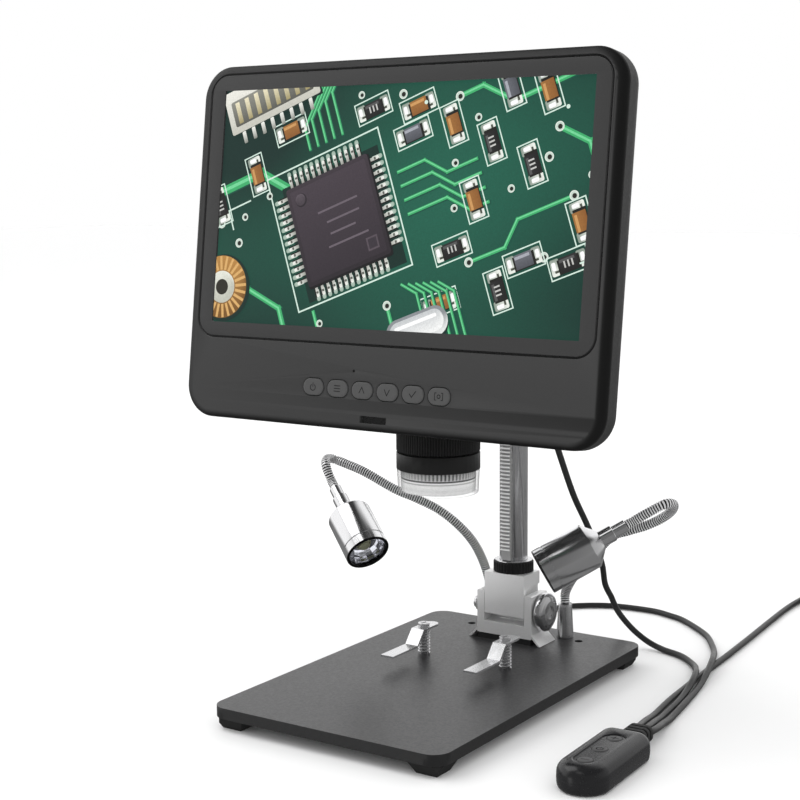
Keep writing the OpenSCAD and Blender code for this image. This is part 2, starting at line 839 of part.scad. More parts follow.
// Strip bent down from the screw to a flat finger over the stage
module clip(x) {
    front = clip_y - clip_knee - clip_slope;
    tip = front - finger_l;
    low = plate_top + finger_h;
    color("silver")
    translate([x, 0, 0])
        difference() {
            intersection() {
                rotate([90, 0, 90])
                    linear_extrude(clip_w, center = true)
                        polygon([
                            [clip_y + clip_tail, clip_top], [clip_y - clip_knee, clip_top],
                            [front, low], [tip, low], [tip, low - clip_t],
                            [front + 0.4, low - clip_t], [clip_y - clip_knee + 0.4, clip_top - clip_t],
                            [clip_y + clip_tail, clip_top - clip_t]
                        ]);
                linear_extrude(clip_top + cut) {
                    translate([-clip_w / 2, tip])
                        square([clip_w, clip_y + clip_tail - clip_w / 2 - tip]);
                    translate([0, clip_y + clip_tail - clip_w / 2])
                        circle(d = clip_w);
                }
            }
            translate([0, clip_y, clip_top - clip_t - cut])
                cylinder(h = clip_t + 2 * cut, r = clip_screw_d / 2 + run_gap);
        }
}
module left_clip() {
    clip(-clip_x);
}
module right_clip() {
    clip(clip_x);
}

// ---- Lamps ----

// Ribbed hose from its socket into the lamp's ferrule, hollow for the wires
module gooseneck(route, at, tilt) {
    way = lamp_way(tilt);
    mouth = at + way * (lamp_len + neck_gap);
    smooth = curve(concat(route, [mouth + way * neck_d, mouth]), 8);
    p = even_points(smooth, 2 * neck_ribs + 1);
    bore = even_points(smooth, 31);
    radii = [for (i = [0:len(p) - 1]) (i % 2 == 0 ? neck_root_d : neck_d) / 2];
    n = 8;
    from = len(p) * n;
    outer_end = from - n;
    bore_end = from + (len(bore) - 1) * n;
    color("silver")
    polyhedron(
        concat(rings(p, radii, n, [1, 0, 0]), rings(bore, [for (i = bore) neck_bore_d / 2], n, [1, 0, 0])),
        concat(
            skin(len(p), n, 0, true),
            skin(len(bore), n, from, false),
            hose_end(0, from, n, true),
            hose_end(outer_end, bore_end, n, false)
        )
    );
}
function hose_end(outer, inner, n, first) = [
    for (k = [0:n - 1], half = [0, 1])
        let (a = outer + k, b = outer + (k + 1) % n, c = inner + (k + 1) % n, d = inner + k)
        half == 0 ? (first ? [a, b, c] : [a, c, b]) : (first ? [a, c, d] : [a, d, c])
];
module left_neck() {
    gooseneck(left_neck_route, left_lens_at, left_lamp_tilt);
}
module right_neck() {
    gooseneck(right_neck_route, right_lens_at, right_lamp_tilt);
}

module lamp(at, tilt) {
    r = lamp_d / 2;
    step_1 = lamp_l + lamp_cone_l;
    step_2 = step_1 + ferrule_step;
    color("gainsboro")
    on_lamp(at, tilt)
        rotate_extrude()
            polygon([
                [lens_d / 2 + 0.1, 0], [r - 0.5, 0], [r, 0.5], [r, 4.6], [r - 0.25, 4.8], [r - 0.25, 5.1],
                [r, 5.3], [r, lamp_l], [ferrule_d / 2 + 0.6, step_1], [ferrule_d / 2, step_1],
                [ferrule_d / 2, step_2], [ferrule_d / 2 - 0.9, step_2], [ferrule_d / 2 - 0.9, lamp_len],
                [1.2, lamp_len], [1.2, lamp_hollow], [r - lamp_wall, lamp_hollow],
                [r - lamp_wall, 3.4], [lens_d / 2 + 0.1, 3.4]
            ]);
}
module lamp_lens(at, tilt) {
    color("white", 0.5)
    on_lamp(at, tilt)
        translate([0, 0, 1])
            cylinder(h = 2.2, d = lens_d);
}
module left_lamp() {
    lamp(left_lens_at, left_lamp_tilt);
}
module right_lamp() {
    lamp(right_lens_at, right_lamp_tilt);
}
module left_lamp_lens() {
    lamp_lens(left_lens_at, left_lamp_tilt);
}
module right_lamp_lens() {
    lamp_lens(right_lens_at, right_lamp_tilt);
}

// ---- Column ----

// Folded saddle: it hangs on the tilt bolt by its hub and holds the column's foot
module saddle() {
    low = pivot_z - 2.1;
    core_w = saddle_core_w;
    color("silver")
    difference() {
        union() {
            translate([-saddle_w / 2, bracket_front, low])
                cube([saddle_w, saddle_t, saddle_top - low]);
            translate([-saddle_w / 2, bracket_front, saddle_top - saddle_cheek_h])
                cube([saddle_w, bracket_d, saddle_cheek_h]);
            translate([-core_w / 2, bracket_front + 0.5, low])
                cube([core_w, saddle_core_back - bracket_front - 0.5, saddle_top - low - 0.5]);
            translate([0, column_y, pivot_z])
                rotate([0, 90, 0])
                    cylinder(h = saddle_w, r = hub_r, center = true);
        }
        translate([0, column_y, pivot_z])
            rotate([0, 90, 0])
                cylinder(h = saddle_w + 2 * cut, r = pivot_d / 2 + run_gap, center = true);
        translate([0, column_y, column_z])
            cylinder(h = saddle_top - column_z + cut, r = column_r + run_gap);
    }
}
module column() {
    color("lightgray")
    difference() {
        translate([0, column_y, column_z])
            cylinder(h = column_l, r = column_r);
        translate([-rack_w / 2 - run_gap, column_y - column_r - cut, rack_foot - cut])
            cube([rack_w + 2 * run_gap, groove_depth + cut, column_top - rack_foot - 1.4]);
    }
}
function rack_half(height) = (tooth_pitch / 4 - backlash / 2) - height * tan(pressure);
module rack() {
    color("lightgray")
    translate([-rack_w / 2, 0, 0])
        rotate([90, 0, 90])
            linear_extrude(rack_w)
                polygon(concat(
                    [[rack_back - run_gap, rack_foot], [rack_root, rack_foot]],
                    [
                        for (k = [first_tooth:last_tooth], q = [[-1, -1.25], [-1, 1], [1, 1], [1, -1.25]])
                            [
                                rack_line - q[1] * tooth_module,
                                pin_z + (k + 0.5) * tooth_pitch + q[0] * rack_half(q[1] * tooth_module)
                            ]
                    ],
                    [[rack_root, rack_top + 2], [rack_back - run_gap, rack_top + 2]]
                ));
}
module collar() {
    color("black")
    translate([0, column_y, saddle_top])
        difference() {
            union() {
                linear_extrude(collar_h - 0.8)
                    ridged(collar_d / 2, 0.4, 36);
                cylinder(h = collar_h, r = collar_d / 2 - 0.5);
            }
            translate([0, 0, -cut])
                cylinder(h = collar_h + 2 * cut, r = column_r + run_gap);
        }
}
module column_cap() {
    color("black")
    translate([0, column_y, column_top])
        difference() {
            translate([0, 0, -2])
                rotate_extrude()
                    polygon([
                        [0, 0], [cap_d / 2, 0], [cap_d / 2, cap_h - 2], [cap_d / 2 - 1.5, cap_h], [0, cap_h]
                    ]);
            translate([0, 0, -2 - cut])
                cylinder(h = 2 + cut, r = column_r + run_gap);
        }
}

// ---- Height drive ----

function inv(a) = tan(a) - a * PI / 180;
function tooth_half(r) =
    let (a = acos(min(1, pinion_base / r)))
    (tooth_pitch / 2 - backlash) / (2 * pinion_r) * 180 / PI + (inv(pressure) - inv(a)) * 180 / PI;
tooth_radii = [pinion_root, pinion_base, (pinion_base + pinion_r) / 2, pinion_r, pinion_tip - 0.03];
module pinion_outline() {
    polygon([
        for (i = [0:pinion_teeth - 1], side = [-1, 1], k = [0:4])
            let (
                r = tooth_radii[side < 0 ? k : 4 - k],
                a = 90 + 360 * i / pinion_teeth + side * tooth_half(max(r, pinion_base))
            )
            r * [cos(a), sin(a)]
    ]);
}

// The pinion is cut into the middle of its shaft, and the height knobs sit on its ends
module pinion_shaft() {
    gear_w = rack_w + 1;
    journal = carriage_w / 2 + 0.2;
    color("silver")
    translate([0, pinion_y, pin_z])
        rotate([0, 90, 0]) {
            linear_extrude(gear_w, center = true)
                pinion_outline();
            for (s = [0, 1])
                mirror([0, 0, s]) {
                    translate([0, 0, gear_w / 2])
                        cylinder(h = journal - gear_w / 2, r = shaft_r);
                    cylinder(h = knob_x + knob_w - 2, r = shaft_end_r);
                }
        }
}
module focus_knobs() {
    color("black")
    translate([0, pinion_y, pin_z])
        for (s = [0, 1])
            mirror([s, 0, 0])
                rotate([0, 90, 0])
                    difference() {
                        union() {
                            translate([0, 0, knob_x - knob_neck])
                                cylinder(h = knob_neck + cut, r = knob_neck_r);
                            translate([0, 0, knob_x])
                                linear_extrude(knob_w - 1.5)
                                    ridged(knob_d / 2, 0.6, knob_ridges);
                            translate([0, 0, knob_x + cut])
                                cylinder(h = knob_w - cut, r = knob_d / 2 - 1.6);
                        }
                        cylinder(h = knob_x + knob_w - 2, r = shaft_end_r + run_gap);
                        cylinder(h = knob_x - knob_neck + 0.05, r = shaft_r + 1);
                    }
}
module carriage() {
    way_w = rack_w + 0.8;
    color("dimgray")
    difference() {
        union() {
            translate([-carriage_w / 2, pod_back, carriage_z])
                cube([carriage_w, carriage_back - pod_back, carriage_h]);
            translate([-carriage_flange_w / 2, pod_back, flange_z])
                cube([carriage_flange_w, carriage_flange_t, flange_h]);
        }
        translate([0, column_y, carriage_z - cut])
            cylinder(h = carriage_h + 2 * cut, r = column_r + run_gap);
        translate([-way_w / 2, rack_tip - 0.4, carriage_z - cut])
            cube([way_w, column_y - rack_tip, carriage_h + 2 * cut]);
        translate([0, pinion_y, pin_z])
            rotate([0, 90, 0])
                cylinder(h = carriage_w + 2 * cut, r = shaft_r + run_gap, center = true);
        carriage_bolts()
            cylinder(h = carriage_flange_t + 2 * cut, r = carriage_screw_d / 2 + run_gap);
    }
}

// Places of the four carriage screws, pointing forward from just behind the flange
module carriage_bolts() {
    for (x = [-1, 1], z = [flange_z + flange_screw_edge, flange_z + flange_h - flange_screw_edge])
        translate([x * flange_screw_x, pod_back + carriage_flange_t + cut, z])
            rotate([90, 0, 0])
                children();
}
module carriage_screws() {
    color("silver")
    carriage_bolts()
        translate([0, 0, cut]) {
            difference() {
                translate([0, 0, -screw_head_h])
                    cylinder(h = screw_head_h, r = screw_head_r - 0.3);
                screw_cross(screw_head_r - 0.3, -screw_head_h - cut, -screw_head_h + 1);
            }
            cylinder(h = carriage_flange_t + pod_wall + 3, d = carriage_screw_d);
        }
}

// ---- Camera pod and lens ----

module pod_plan(inset) {
    depth = pod_back + 46;
    translate([0, pod_back - depth / 2])
        rounded(pod_w - 2 * inset, depth - 2 * inset, pod_r - inset / 2);
}

// Closed box behind the screen's lower half; its front follows the leaning rear shell
module camera_pod() {
    color("black")
    difference() {
        union() {
            difference() {
                translate([0, 0, pod_z])
                    linear_extrude(pod_h)
                        pod_plan(0);
                difference() {
                    translate([0, 0, pod_z + pod_wall])
                        linear_extrude(pod_h - 2 * pod_wall)
                            pod_plan(pod_wall);
                    ahead_of(housing_t + 0.1 + pod_wall);
                }
            }
            carriage_bolts()
                translate([0, 0, carriage_flange_t + cut])
                    cylinder(h = pod_wall + 4, r = carriage_screw_d / 2 + 1.8);
        }
        ahead_of(housing_t + 0.1);
        on_screen()
            slab(housing_t - 5, housing_t + pod_wall + 1)
                cable_way();
        translate([0, 0, pod_z - cut])
            cylinder(h = pod_wall + 2 * cut, r = barrel_core_d / 2 + run_gap);
        carriage_bolts()
            cylinder(h = carriage_flange_t + pod_wall + 4 + cut, r = carriage_screw_d / 2 + run_gap);
    }
}
module ahead_of(depth) {
    on_screen()
        slab(-60, depth)
            square([2 * housing_w, 3 * housing_h], center = true);
}
module cable_way() {
    translate([-cable_w / 2, cable_v[0]])
        square([cable_w, cable_v[1] - cable_v[0]]);
}

// Barrel with its inner flange, the journal of the focus ring and the plain band
module lens_barrel() {
    core = barrel_core_d / 2;
    bore = barrel_bore_d / 2;
    ledge_z = pod_z + pod_wall + 0.1;
    color("black")
    rotate_extrude()
        polygon([
            [bore, band_z + barrel_lip], [bore, barrel_top], [core - barrel_wall, barrel_top],
            [core - barrel_wall, ledge_z + barrel_flange_h],
            [core + barrel_flange, ledge_z + barrel_flange_h],
            [core + barrel_flange, ledge_z], [core, ledge_z], [core, band_z + band_h],
            [barrel_d / 2, band_z + band_h], [barrel_d / 2, band_z], [core, band_z],
            [core, band_z + barrel_lip]
        ]);
}
module focus_ring() {
    color("black")
    translate([0, 0, ring_z])
        difference() {
            linear_extrude(focus_ring_h)
                ridged(barrel_d / 2, 0.5, focus_ring_ridges);
            translate([0, 0, -cut])
                cylinder(h = focus_ring_h + 2 * cut, r = barrel_core_d / 2 + run_gap);
        }
}
module lens_elements() {
    color("lightcyan", 0.5)
    for (z = [band_z + lens_pitch / 2, band_z + 1.5 * lens_pitch, barrel_top - lens_pitch])
        translate([0, 0, z])
            cylinder(h = lens_t, r = barrel_bore_d / 2 - run_gap);
}
module led_ring() {
    color("white")
    translate([0, 0, band_z + barrel_lip - board_t - 0.1])
        difference() {
            union() {
                cylinder(h = board_t, r = barrel_core_d / 2 - 0.3);
                for (i = [0:7])
                    rotate(360 * i / 8 + 22.5)
                        translate([light_r, 0, -0.8])
                            linear_extrude(1)
                                square(light_w, center = true);
            }
            translate([0, 0, -2 * cut])
                cylinder(h = board_t + 3 * cut, r = barrel_bore_d / 2 - 1);
        }
}
module skirt() {
    top = barrel_d / 2 - 0.25;
    low = skirt_end_d / 2;
    color("white", 0.4)
    translate([0, 0, skirt_z])
        rotate_extrude()
            polygon([
                [low - skirt_wall, 0], [low, 0], [top, skirt_h], [top - skirt_wall, skirt_h]
            ]);
}
module sensor_board() {
    color("darkgreen")
    translate([0, 0, barrel_top + 1]) {
        translate([-board_w / 2, -board_w / 2 + 4, 0])
            cube([board_w, board_w, board_t]);
        translate([-sensor_w / 2, -sensor_w / 2, board_t])
            cube([sensor_w, sensor_w, sensor_t]);
    }
}
module dc_plug() {
    color("black")
    translate(dc_at + [part_gap, -dc_l / 2, -dc_h / 2])
        linear_extrude(dc_h)
            polygon([[0, 0], [dc_w - 3, 0], [dc_w, 3], [dc_w, dc_l - 0.1], [0, dc_l - 0.1]]);
}

// ---- Screen ----

module housing_level(depth, inset_u, inset_v) {
    slab(depth - level_t, depth)
        translate([0, housing_v])
            rounded(
                housing_w - 2 * inset_u,
                housing_h - 2 * inset_v,
                max(housing_r - inset_u, 4),
                $fn = 32
            );
}

// Rings of the rear shell from its rim to its back: outside with no inset, inside with the wall as inset
corner_steps = 8;
function corner(w, h, r, k) = let (sx = k == 0 || k == 3 ? 1 : -1, sy = k < 2 ? 1 : -1) [
    for (i = [0:corner_steps])
        let (a = 90 * (k + i / corner_steps))
        [sx * (w / 2 - r) + r * cos(a), sy * (h / 2 - r) + r * sin(a)]
];
function housing_ring(depth, inset) = let (
    w = housing_w - 2 * inset,
    h = housing_h - 2 * inset,
    r = max(housing_r - inset, 4)
) [
    for (k = [0:3], p = corner(w, h, r, k)) [p[0], p[1] + housing_v, -depth]
];
function rear_rings(inset) = concat(
    housing_ring(face_t + 0.05, inset),
    [
        for (level = back_levels)
            each housing_ring(level[0] * (housing_t - inset), level[1] * housing_t + inset)
    ]
);
module rear_form() {
    n = 4 * (corner_steps + 1);
    count = len(back_levels) + 1;
    inner = count * n;
    outer_back = inner - n;
    inner_back = 2 * inner - n;
    polyhedron(
        concat(rear_rings(0), rear_rings(wall)),
        concat(
            skin(count, n, 0, false),
            skin(count, n, inner, true),
            hose_end(0, inner, n, false),
            [for (k = [1:n - 2]) [outer_back, outer_back + k, outer_back + k + 1]],
            [for (k = [1:n - 2]) [inner_back, inner_back + k + 1, inner_back + k]]
        )
    );
}
module front_form() {
    hull() {
        housing_level(level_t, roll_w, roll_h);
        housing_level(face_t * 0.28, roll_w * 0.3, roll_h * 0.3);
        housing_level(face_t, 0, 0);
    }
}
module button_row(extra) {
    for (u = button_u)
        translate([u, button_v])
            rounded(button_w + 2 * extra, button_h + 2 * extra, button_h / 2 + extra - 0.01);
}
module front_shell() {
    post_end = post_split - 0.1;
    color("dimgray")
    on_screen()
        difference() {
            union() {
                front_form();
                slab(face_t - 0.2, lip_depth)
                    translate([0, housing_v])
                        difference() {
                            rounded(
                                housing_w - 2 * (wall + 0.15),
                                housing_h - 2 * (wall + 0.15),
                                housing_r - wall
                            );
                            rounded(
                                housing_w - 2 * (wall + 0.15 + lip_t),
                                housing_h - 2 * (wall + 0.15 + lip_t),
                                housing_r - wall - lip_t
                            );
                        }
                for (u = shell_screw_u)
                    slab(face_t - 0.2, post_end)
                        translate([u, shell_screw_v])
                            circle(post_r);
            }
            slab(-cut, pocket_t)
                translate([glass_x, glass_v])
                    rounded(glass_w + 2 * glass_groove, glass_h + 2 * glass_groove, glass_r + glass_groove);
            slab(-cut, lip_depth + cut)
                translate([panel_x, panel_v])
                    square([panel_w + 1, panel_h + 0.8], center = true);
            slab(-cut, lip_depth + cut)
                button_row(button_gap);
            slab(-cut, lip_depth + cut)
                translate([slot_u, slot_v])
                    square([slot_w, slot_h], center = true);
            slab(-cut, lip_depth + cut)
                translate([indicator_u, indicator_v])
                    circle(0.6);
            for (u = shell_screw_u)
                slab(face_t + 1.5, post_end + cut)
                    translate([u, shell_screw_v])
                        circle(carriage_screw_d / 2 + run_gap);
        }
}
module rear_shell() {
    color("black")
    on_screen()
        difference() {
            union() {
                rear_form();
                for (u = shell_screw_u)
                    slab(post_split, housing_t - wall / 2)
                        translate([u, shell_screw_v])
                            circle(post_r + 1);
            }
            slab(housing_t - wall - cut, housing_t + cut)
                cable_way();
            for (u = shell_screw_u) {
                slab(post_split - cut, housing_t + cut)
                    translate([u, shell_screw_v])
                        circle(carriage_screw_d / 2 + run_gap);
                slab(housing_t - screw_head_h - 0.4, housing_t + cut)
                    translate([u, shell_screw_v])
                        circle(screw_head_r + part_gap);
            }
            for (u = [-58, 58], k = [0:5])
                slab(housing_t - wall - cut, housing_t + cut)
                    translate([u, 10 + k * vent_pitch])
                        square([vent_w, vent_h], center = true);
        }
}
module shell_screws() {
    color("silver")
    on_screen()
        for (u = shell_screw_u)
            translate([u, shell_screw_v, 0])
                difference() {
                    union() {
                        slab(housing_t - screw_head_h - 0.3, housing_t - 0.3)
                            circle(screw_head_r - 0.2);
                        slab(face_t + 3, housing_t - screw_head_h)
                            circle(d = carriage_screw_d);
                    }
                    screw_cross(screw_head_r, -housing_t - cut, -housing_t + 1.2);
                }
}
module screen_glass() {
    color("black", 0.6)
    on_screen()
        slab(glass_set, glass_set + glass_t)
            translate([glass_x, glass_v])
                rounded(glass_w, glass_h, glass_r);
}
module lcd_panel() {
    color("seagreen")
    on_screen()
        slab(pocket_t + 0.05, pocket_t + 0.05 + panel_t)
            translate([panel_x, panel_v])
                square([panel_w, panel_h], center = true);
}
module main_board() {
    color("darkgreen")
    on_screen() {
        slab(switch_depth + 1.1, switch_depth + 1.1 + board_t)
            translate([0, button_v])
                square([housing_w - 2 * key_board_side, key_board_h], center = true);
        for (u = button_u)
            slab(switch_depth, switch_depth + 1.2)
                translate([u, button_v])
                    square(key_switch_w, center = true);
    }
}

// Key with a flange behind the front face
module front_button(i) {
    color("dimgray")
    on_screen()
        translate([button_u[i], button_v, 0]) {
            slab(-button_proud, face_t + part_gap + button_flange / 2)
                rounded(button_w, button_h, button_h / 2 - 0.01);
            slab(face_t + part_gap, face_t + part_gap + button_flange)
                rounded(button_w + 1.6, button_h + 2, button_h / 2);
        }
}
module button_power() {
    front_button(0);
}
module button_menu() {
    front_button(1);
}
module button_up() {
    front_button(2);
}
module button_down() {
    front_button(3);
}
module button_ok() {
    front_button(4);
}
module button_capture() {
    front_button(5);
}

// ---- Remote ----

module remote_outline(inset) {
    half = remote_w / 2 - inset;
    nose = -remote_l / 2 + remote_w / 2;
    tail = remote_l / 2 - inset;
    corner = max(remote_tail_r - inset, 1);
    translate([0, nose])
        circle(half);
    translate([-half, nose])
        square([2 * half, tail - corner - nose]);
    translate([-half + corner, nose])
        square([2 * (half - corner), tail - nose]);
    for (x = [-1, 1])
        translate([x * (half - corner), tail - corner])
            circle(corner);
}
module remote_form(levels) {
    hull()
        for (level = levels)
            translate([0, 0, level[0]])
                linear_extrude(0.01)
                    remote_outline(level[1], $fn = 32);
}
module remote_bottom() {
    color("black")
    on_remote()
        difference() {
            remote_form([[0, 2.2], [1.2, 0.5], [remote_split - 0.01, 0]]);
            translate([0, 0, remote_wall])
                linear_extrude(remote_split)
                    remote_outline(remote_wall + 0.8);
            gland_slot();
        }
}
module remote_top() {
    top = remote_h - strip_set;
    color("black")
    on_remote()
        difference() {
            remote_form([
                [remote_split + 0.1, 0], [remote_h - 4.2, 0.2],
                [remote_h - 1.7, 1.6], [remote_h - 0.01, 4.4]
            ]);
            translate([0, 0, remote_split - cut])
                linear_extrude(top - remote_wall - remote_split + cut)
                    remote_outline(remote_wall + 1.4);
            translate([0, remote_mid, top])
                linear_extrude(strip_set + cut)
                    rounded(strip_w, strip_l, strip_w / 2 - 0.01);
            for (i = [-1:1])
                translate([0, remote_mid + i * remote_button_pitch, remote_split])
                    cylinder(h = remote_h, r = remote_button_d / 2 + part_gap);
            gland_slot();
        }
}
module gland_slot() {
    translate([-gland_w / 2 + 0.9, 0, gland_z - gland_h / 2 + 0.9])
        cube([gland_w - 1.8, remote_l, gland_h - 1.8]);
}
module remote_button(i) {
    top = remote_h - strip_set;
    under = top - remote_wall;
    color("black")
    on_remote()
        translate([0, remote_mid + i * remote_button_pitch, 0]) {
            translate([0, 0, under - 1])
                cylinder(h = top - under + 1.3, d = remote_button_d);
            translate([0, 0, under - part_gap - 1])
                cylinder(h = 1, r = remote_button_d / 2 + 0.9);
        }
}
module remote_brighter() {
    remote_button(1);
}
module remote_power() {
    remote_button(0);
}
module remote_dimmer() {
    remote_button(-1);
}

// Flat ribbed strain relief for the three leads
module remote_gland() {
    pitch = gland_l / gland_ribs;
    color("black")
    on_remote()
        translate([0, 0, gland_z])
            rotate([-90, 0, 0]) {
                translate([0, 0, remote_l / 2 - 3])
                    linear_extrude(gland_l + 3)
                        rounded(gland_w - 2, gland_h - 2, 2);
                for (i = [0:gland_ribs - 1])
                    translate([0, 0, remote_l / 2 + 0.1 + i * pitch])
                        linear_extrude(pitch * 0.62)
                            rounded(gland_w, gland_h, 2.6);
            }
}

// ---- Leads ----

module lead(route) {
    color("dimgray")
        tube(route, lead_r, 8);
}
module lamp_lead() {
    lead(lamp_route);
}
module monitor_lead_lower() {
    lead(monitor_lower_route);
}
module monitor_lead_upper() {
    lead(monitor_upper_route);
}
module power_lead() {
    lead(power_route);
}

// Two layers: the spiral runs inward on the table, climbs, and runs outward on top
function coil_point(t) =
    let (
        climb = min(max((t - coil_turns) / 0.5, 0), 1),
        turn = t < coil_turns ? t : t < coil_turns + 0.5 ? coil_turns : 2 * coil_turns + 0.5 - t,
        r = coil_r - coil_pitch * turn - coil_dip * sin(180 * climb),
        a = 180 - 360 * t
    )
    [coil_at[0] + r * cos(a), coil_at[1] + r * sin(a), floor_z + coil_pitch * climb];
module power_coil() {
    count = coil_steps * (2 * coil_turns + 0.5);
    turns = [for (k = [0:count]) coil_point(k / coil_steps)];
    start = coil_point(0) - [0, lead_d, 0];
    echo("coil least gap", self_gap(turns, lead_r, 8));
    color("dimgray")
        tube(concat([start], turns, coil_tail), lead_r, 6);
}
module usb_plug() {
    color("black")
    translate([last(coil_tail)[0], plug_y - plug_l, plug_z])
        rotate([-90, 0, 0])
            linear_extrude(plug_l)
                rounded(plug_w, plug_h, 2.4);
}
module usb_shell() {
    shell_w = 12;
    shell_h = 4.5;
    shell_t = 0.3;
    color("silver")
    translate([last(coil_tail)[0], plug_y - plug_l - plug_shell_l, plug_z])
        rotate([-90, 0, 0])
            linear_extrude(plug_shell_l)
                difference() {
                    square([shell_w, shell_h], center = true);
                    translate([0, shell_h / 4 - shell_t / 2])
                        square([shell_w - 2 * shell_t, shell_h / 2 - shell_t], center = true);
                }
}

base_plate();
rubber_feet();
tilt_bracket();
bracket_screws();
pivot_bolt();
neck_sockets();
clip_screws();
remote_bottom();
remote_top();
remote_gland();
lamp_lead();
monitor_lead_lower();
power_lead();
power_coil();
usb_plug();
usb_shell();
saddle();
column();
rack();
collar();
column_cap();
monitor_lead_upper();
tilt_knob();
front_shell();
rear_shell();
camera_pod();
screen_glass();
lcd_panel();
main_board();
shell_screws();
carriage();
carriage_screws();
lens_barrel();
lens_elements();
sensor_board();
led_ring();
skirt();
dc_plug();
pinion_shaft();
focus_knobs();
focus_ring();
button_power();
button_menu();
button_up();
button_down();
button_ok();
button_capture();
left_clip_spring();
right_clip_spring();
left_clip();
right_clip();
left_neck();
right_neck();
left_lamp();
right_lamp();
left_lamp_lens();
right_lamp_lens();
remote_brighter();
remote_power();
remote_dimmer();
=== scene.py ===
import bmesh
import bpy
import math
import numpy as np
from mathutils import Matrix, Vector
from mathutils.geometry import tessellate_polygon


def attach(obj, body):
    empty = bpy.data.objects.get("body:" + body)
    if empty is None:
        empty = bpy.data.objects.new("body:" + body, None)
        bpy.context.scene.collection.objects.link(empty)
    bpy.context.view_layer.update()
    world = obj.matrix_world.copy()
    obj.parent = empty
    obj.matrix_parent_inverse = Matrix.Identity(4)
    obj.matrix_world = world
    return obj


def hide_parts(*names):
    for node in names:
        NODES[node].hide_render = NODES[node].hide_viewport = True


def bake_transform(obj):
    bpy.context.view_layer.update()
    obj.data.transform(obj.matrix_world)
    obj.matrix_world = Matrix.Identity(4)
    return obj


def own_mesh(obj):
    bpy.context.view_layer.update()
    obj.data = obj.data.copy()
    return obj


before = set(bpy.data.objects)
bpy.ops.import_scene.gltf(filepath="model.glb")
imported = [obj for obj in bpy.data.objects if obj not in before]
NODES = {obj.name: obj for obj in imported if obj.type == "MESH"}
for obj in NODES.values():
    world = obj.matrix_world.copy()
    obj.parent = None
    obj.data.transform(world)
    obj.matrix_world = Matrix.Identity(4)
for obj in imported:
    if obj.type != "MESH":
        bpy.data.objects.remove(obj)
MM = 0.001


def note_size():
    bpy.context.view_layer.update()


note_size()

# ---- camera
CAM_AT = (389.26, -611.72, 238.42)
CAM_YAW, CAM_PITCH, CAM_ROLL = math.radians(33.84), math.radians(7.81), math.radians(-0.45)
FOCAL_PX, PICTURE_PX, SENSOR = 1605.36, 800, 36
fwd = Vector((-math.sin(CAM_YAW) * math.cos(CAM_PITCH), math.cos(CAM_YAW) * math.cos(CAM_PITCH), -math.sin(CAM_PITCH)))
right = Vector((math.cos(CAM_YAW), math.sin(CAM_YAW), 0))
up = right.cross(fwd)
right, up = (right * math.cos(CAM_ROLL) + up * math.sin(CAM_ROLL),
             up * math.cos(CAM_ROLL) - right * math.sin(CAM_ROLL))
cam_data = bpy.data.cameras.new("camera")
cam_data.sensor_width = SENSOR
cam_data.lens = FOCAL_PX / PICTURE_PX * SENSOR
cam_data.clip_start, cam_data.clip_end = 0.05, 20
camera = bpy.data.objects.new("camera", cam_data)
bpy.context.scene.collection.objects.link(camera)
turn = Matrix((right, up, -fwd)).transposed().to_4x4()
camera.matrix_world = Matrix.Translation([x * MM for x in CAM_AT]) @ turn
bpy.context.scene.camera = camera
bpy.context.scene.view_settings.view_transform = "Standard"

# ---- sizes shared with the CAD
PLATE_TOP = 10.5
COLUMN_Y = 69.5
LEAN = math.radians(7.45)
SCREEN_AT = np.array([0.0, -38.2, 227.0])
U_WAY = np.array([1.0, 0, 0])  # to the right on the screen, then up it, then out of it
V_WAY = np.array([0, math.sin(LEAN), math.cos(LEAN)])
N_WAY = np.array([0, -math.cos(LEAN), math.sin(LEAN)])


def unit(v):
    v = np.asarray(v, float)
    return v / np.linalg.norm(v)


def on_screen(u, v, depth=0.0):
    return SCREEN_AT + U_WAY * u + V_WAY * v - N_WAY * depth


# ---- mesh helpers
def link(name, verts, faces, material, body=None, smooth=True, angle=35, colors=None, index=None, weld=True):
    """Makes an object of points in mm. angle is where shading turns sharp; colors are its own tint, one per point."""
    me = bpy.data.meshes.new(name)
    me.from_pydata([tuple(float(c) * MM for c in p) for p in verts], [], [tuple(int(i) for i in f) for f in faces])
    me.update()
    if colors is not None:
        layer = me.color_attributes.new("tint", "FLOAT_COLOR", "POINT")
        layer.data.foreach_set("color", np.asarray(colors, np.float32).ravel())
    if index is not None:
        me.polygons.foreach_set("material_index", index)
    if weld:
        bm = bmesh.new()
        bm.from_mesh(me)
        bmesh.ops.remove_doubles(bm, verts=bm.verts, dist=2e-6)
        bmesh.ops.recalc_face_normals(bm, faces=bm.faces)
        bm.to_mesh(me)
        bm.free()
    me.validate()
    ob = bpy.data.objects.new(name, me)
    bpy.context.scene.collection.objects.link(ob)
    for m in material if isinstance(material, (list, tuple)) else [material]:
        me.materials.append(m)
    if smooth:
        me.polygons.foreach_set("use_smooth", [True] * len(me.polygons))
        me.set_sharp_from_angle(angle=math.radians(angle))
    if body:
        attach(ob, body)
    return ob


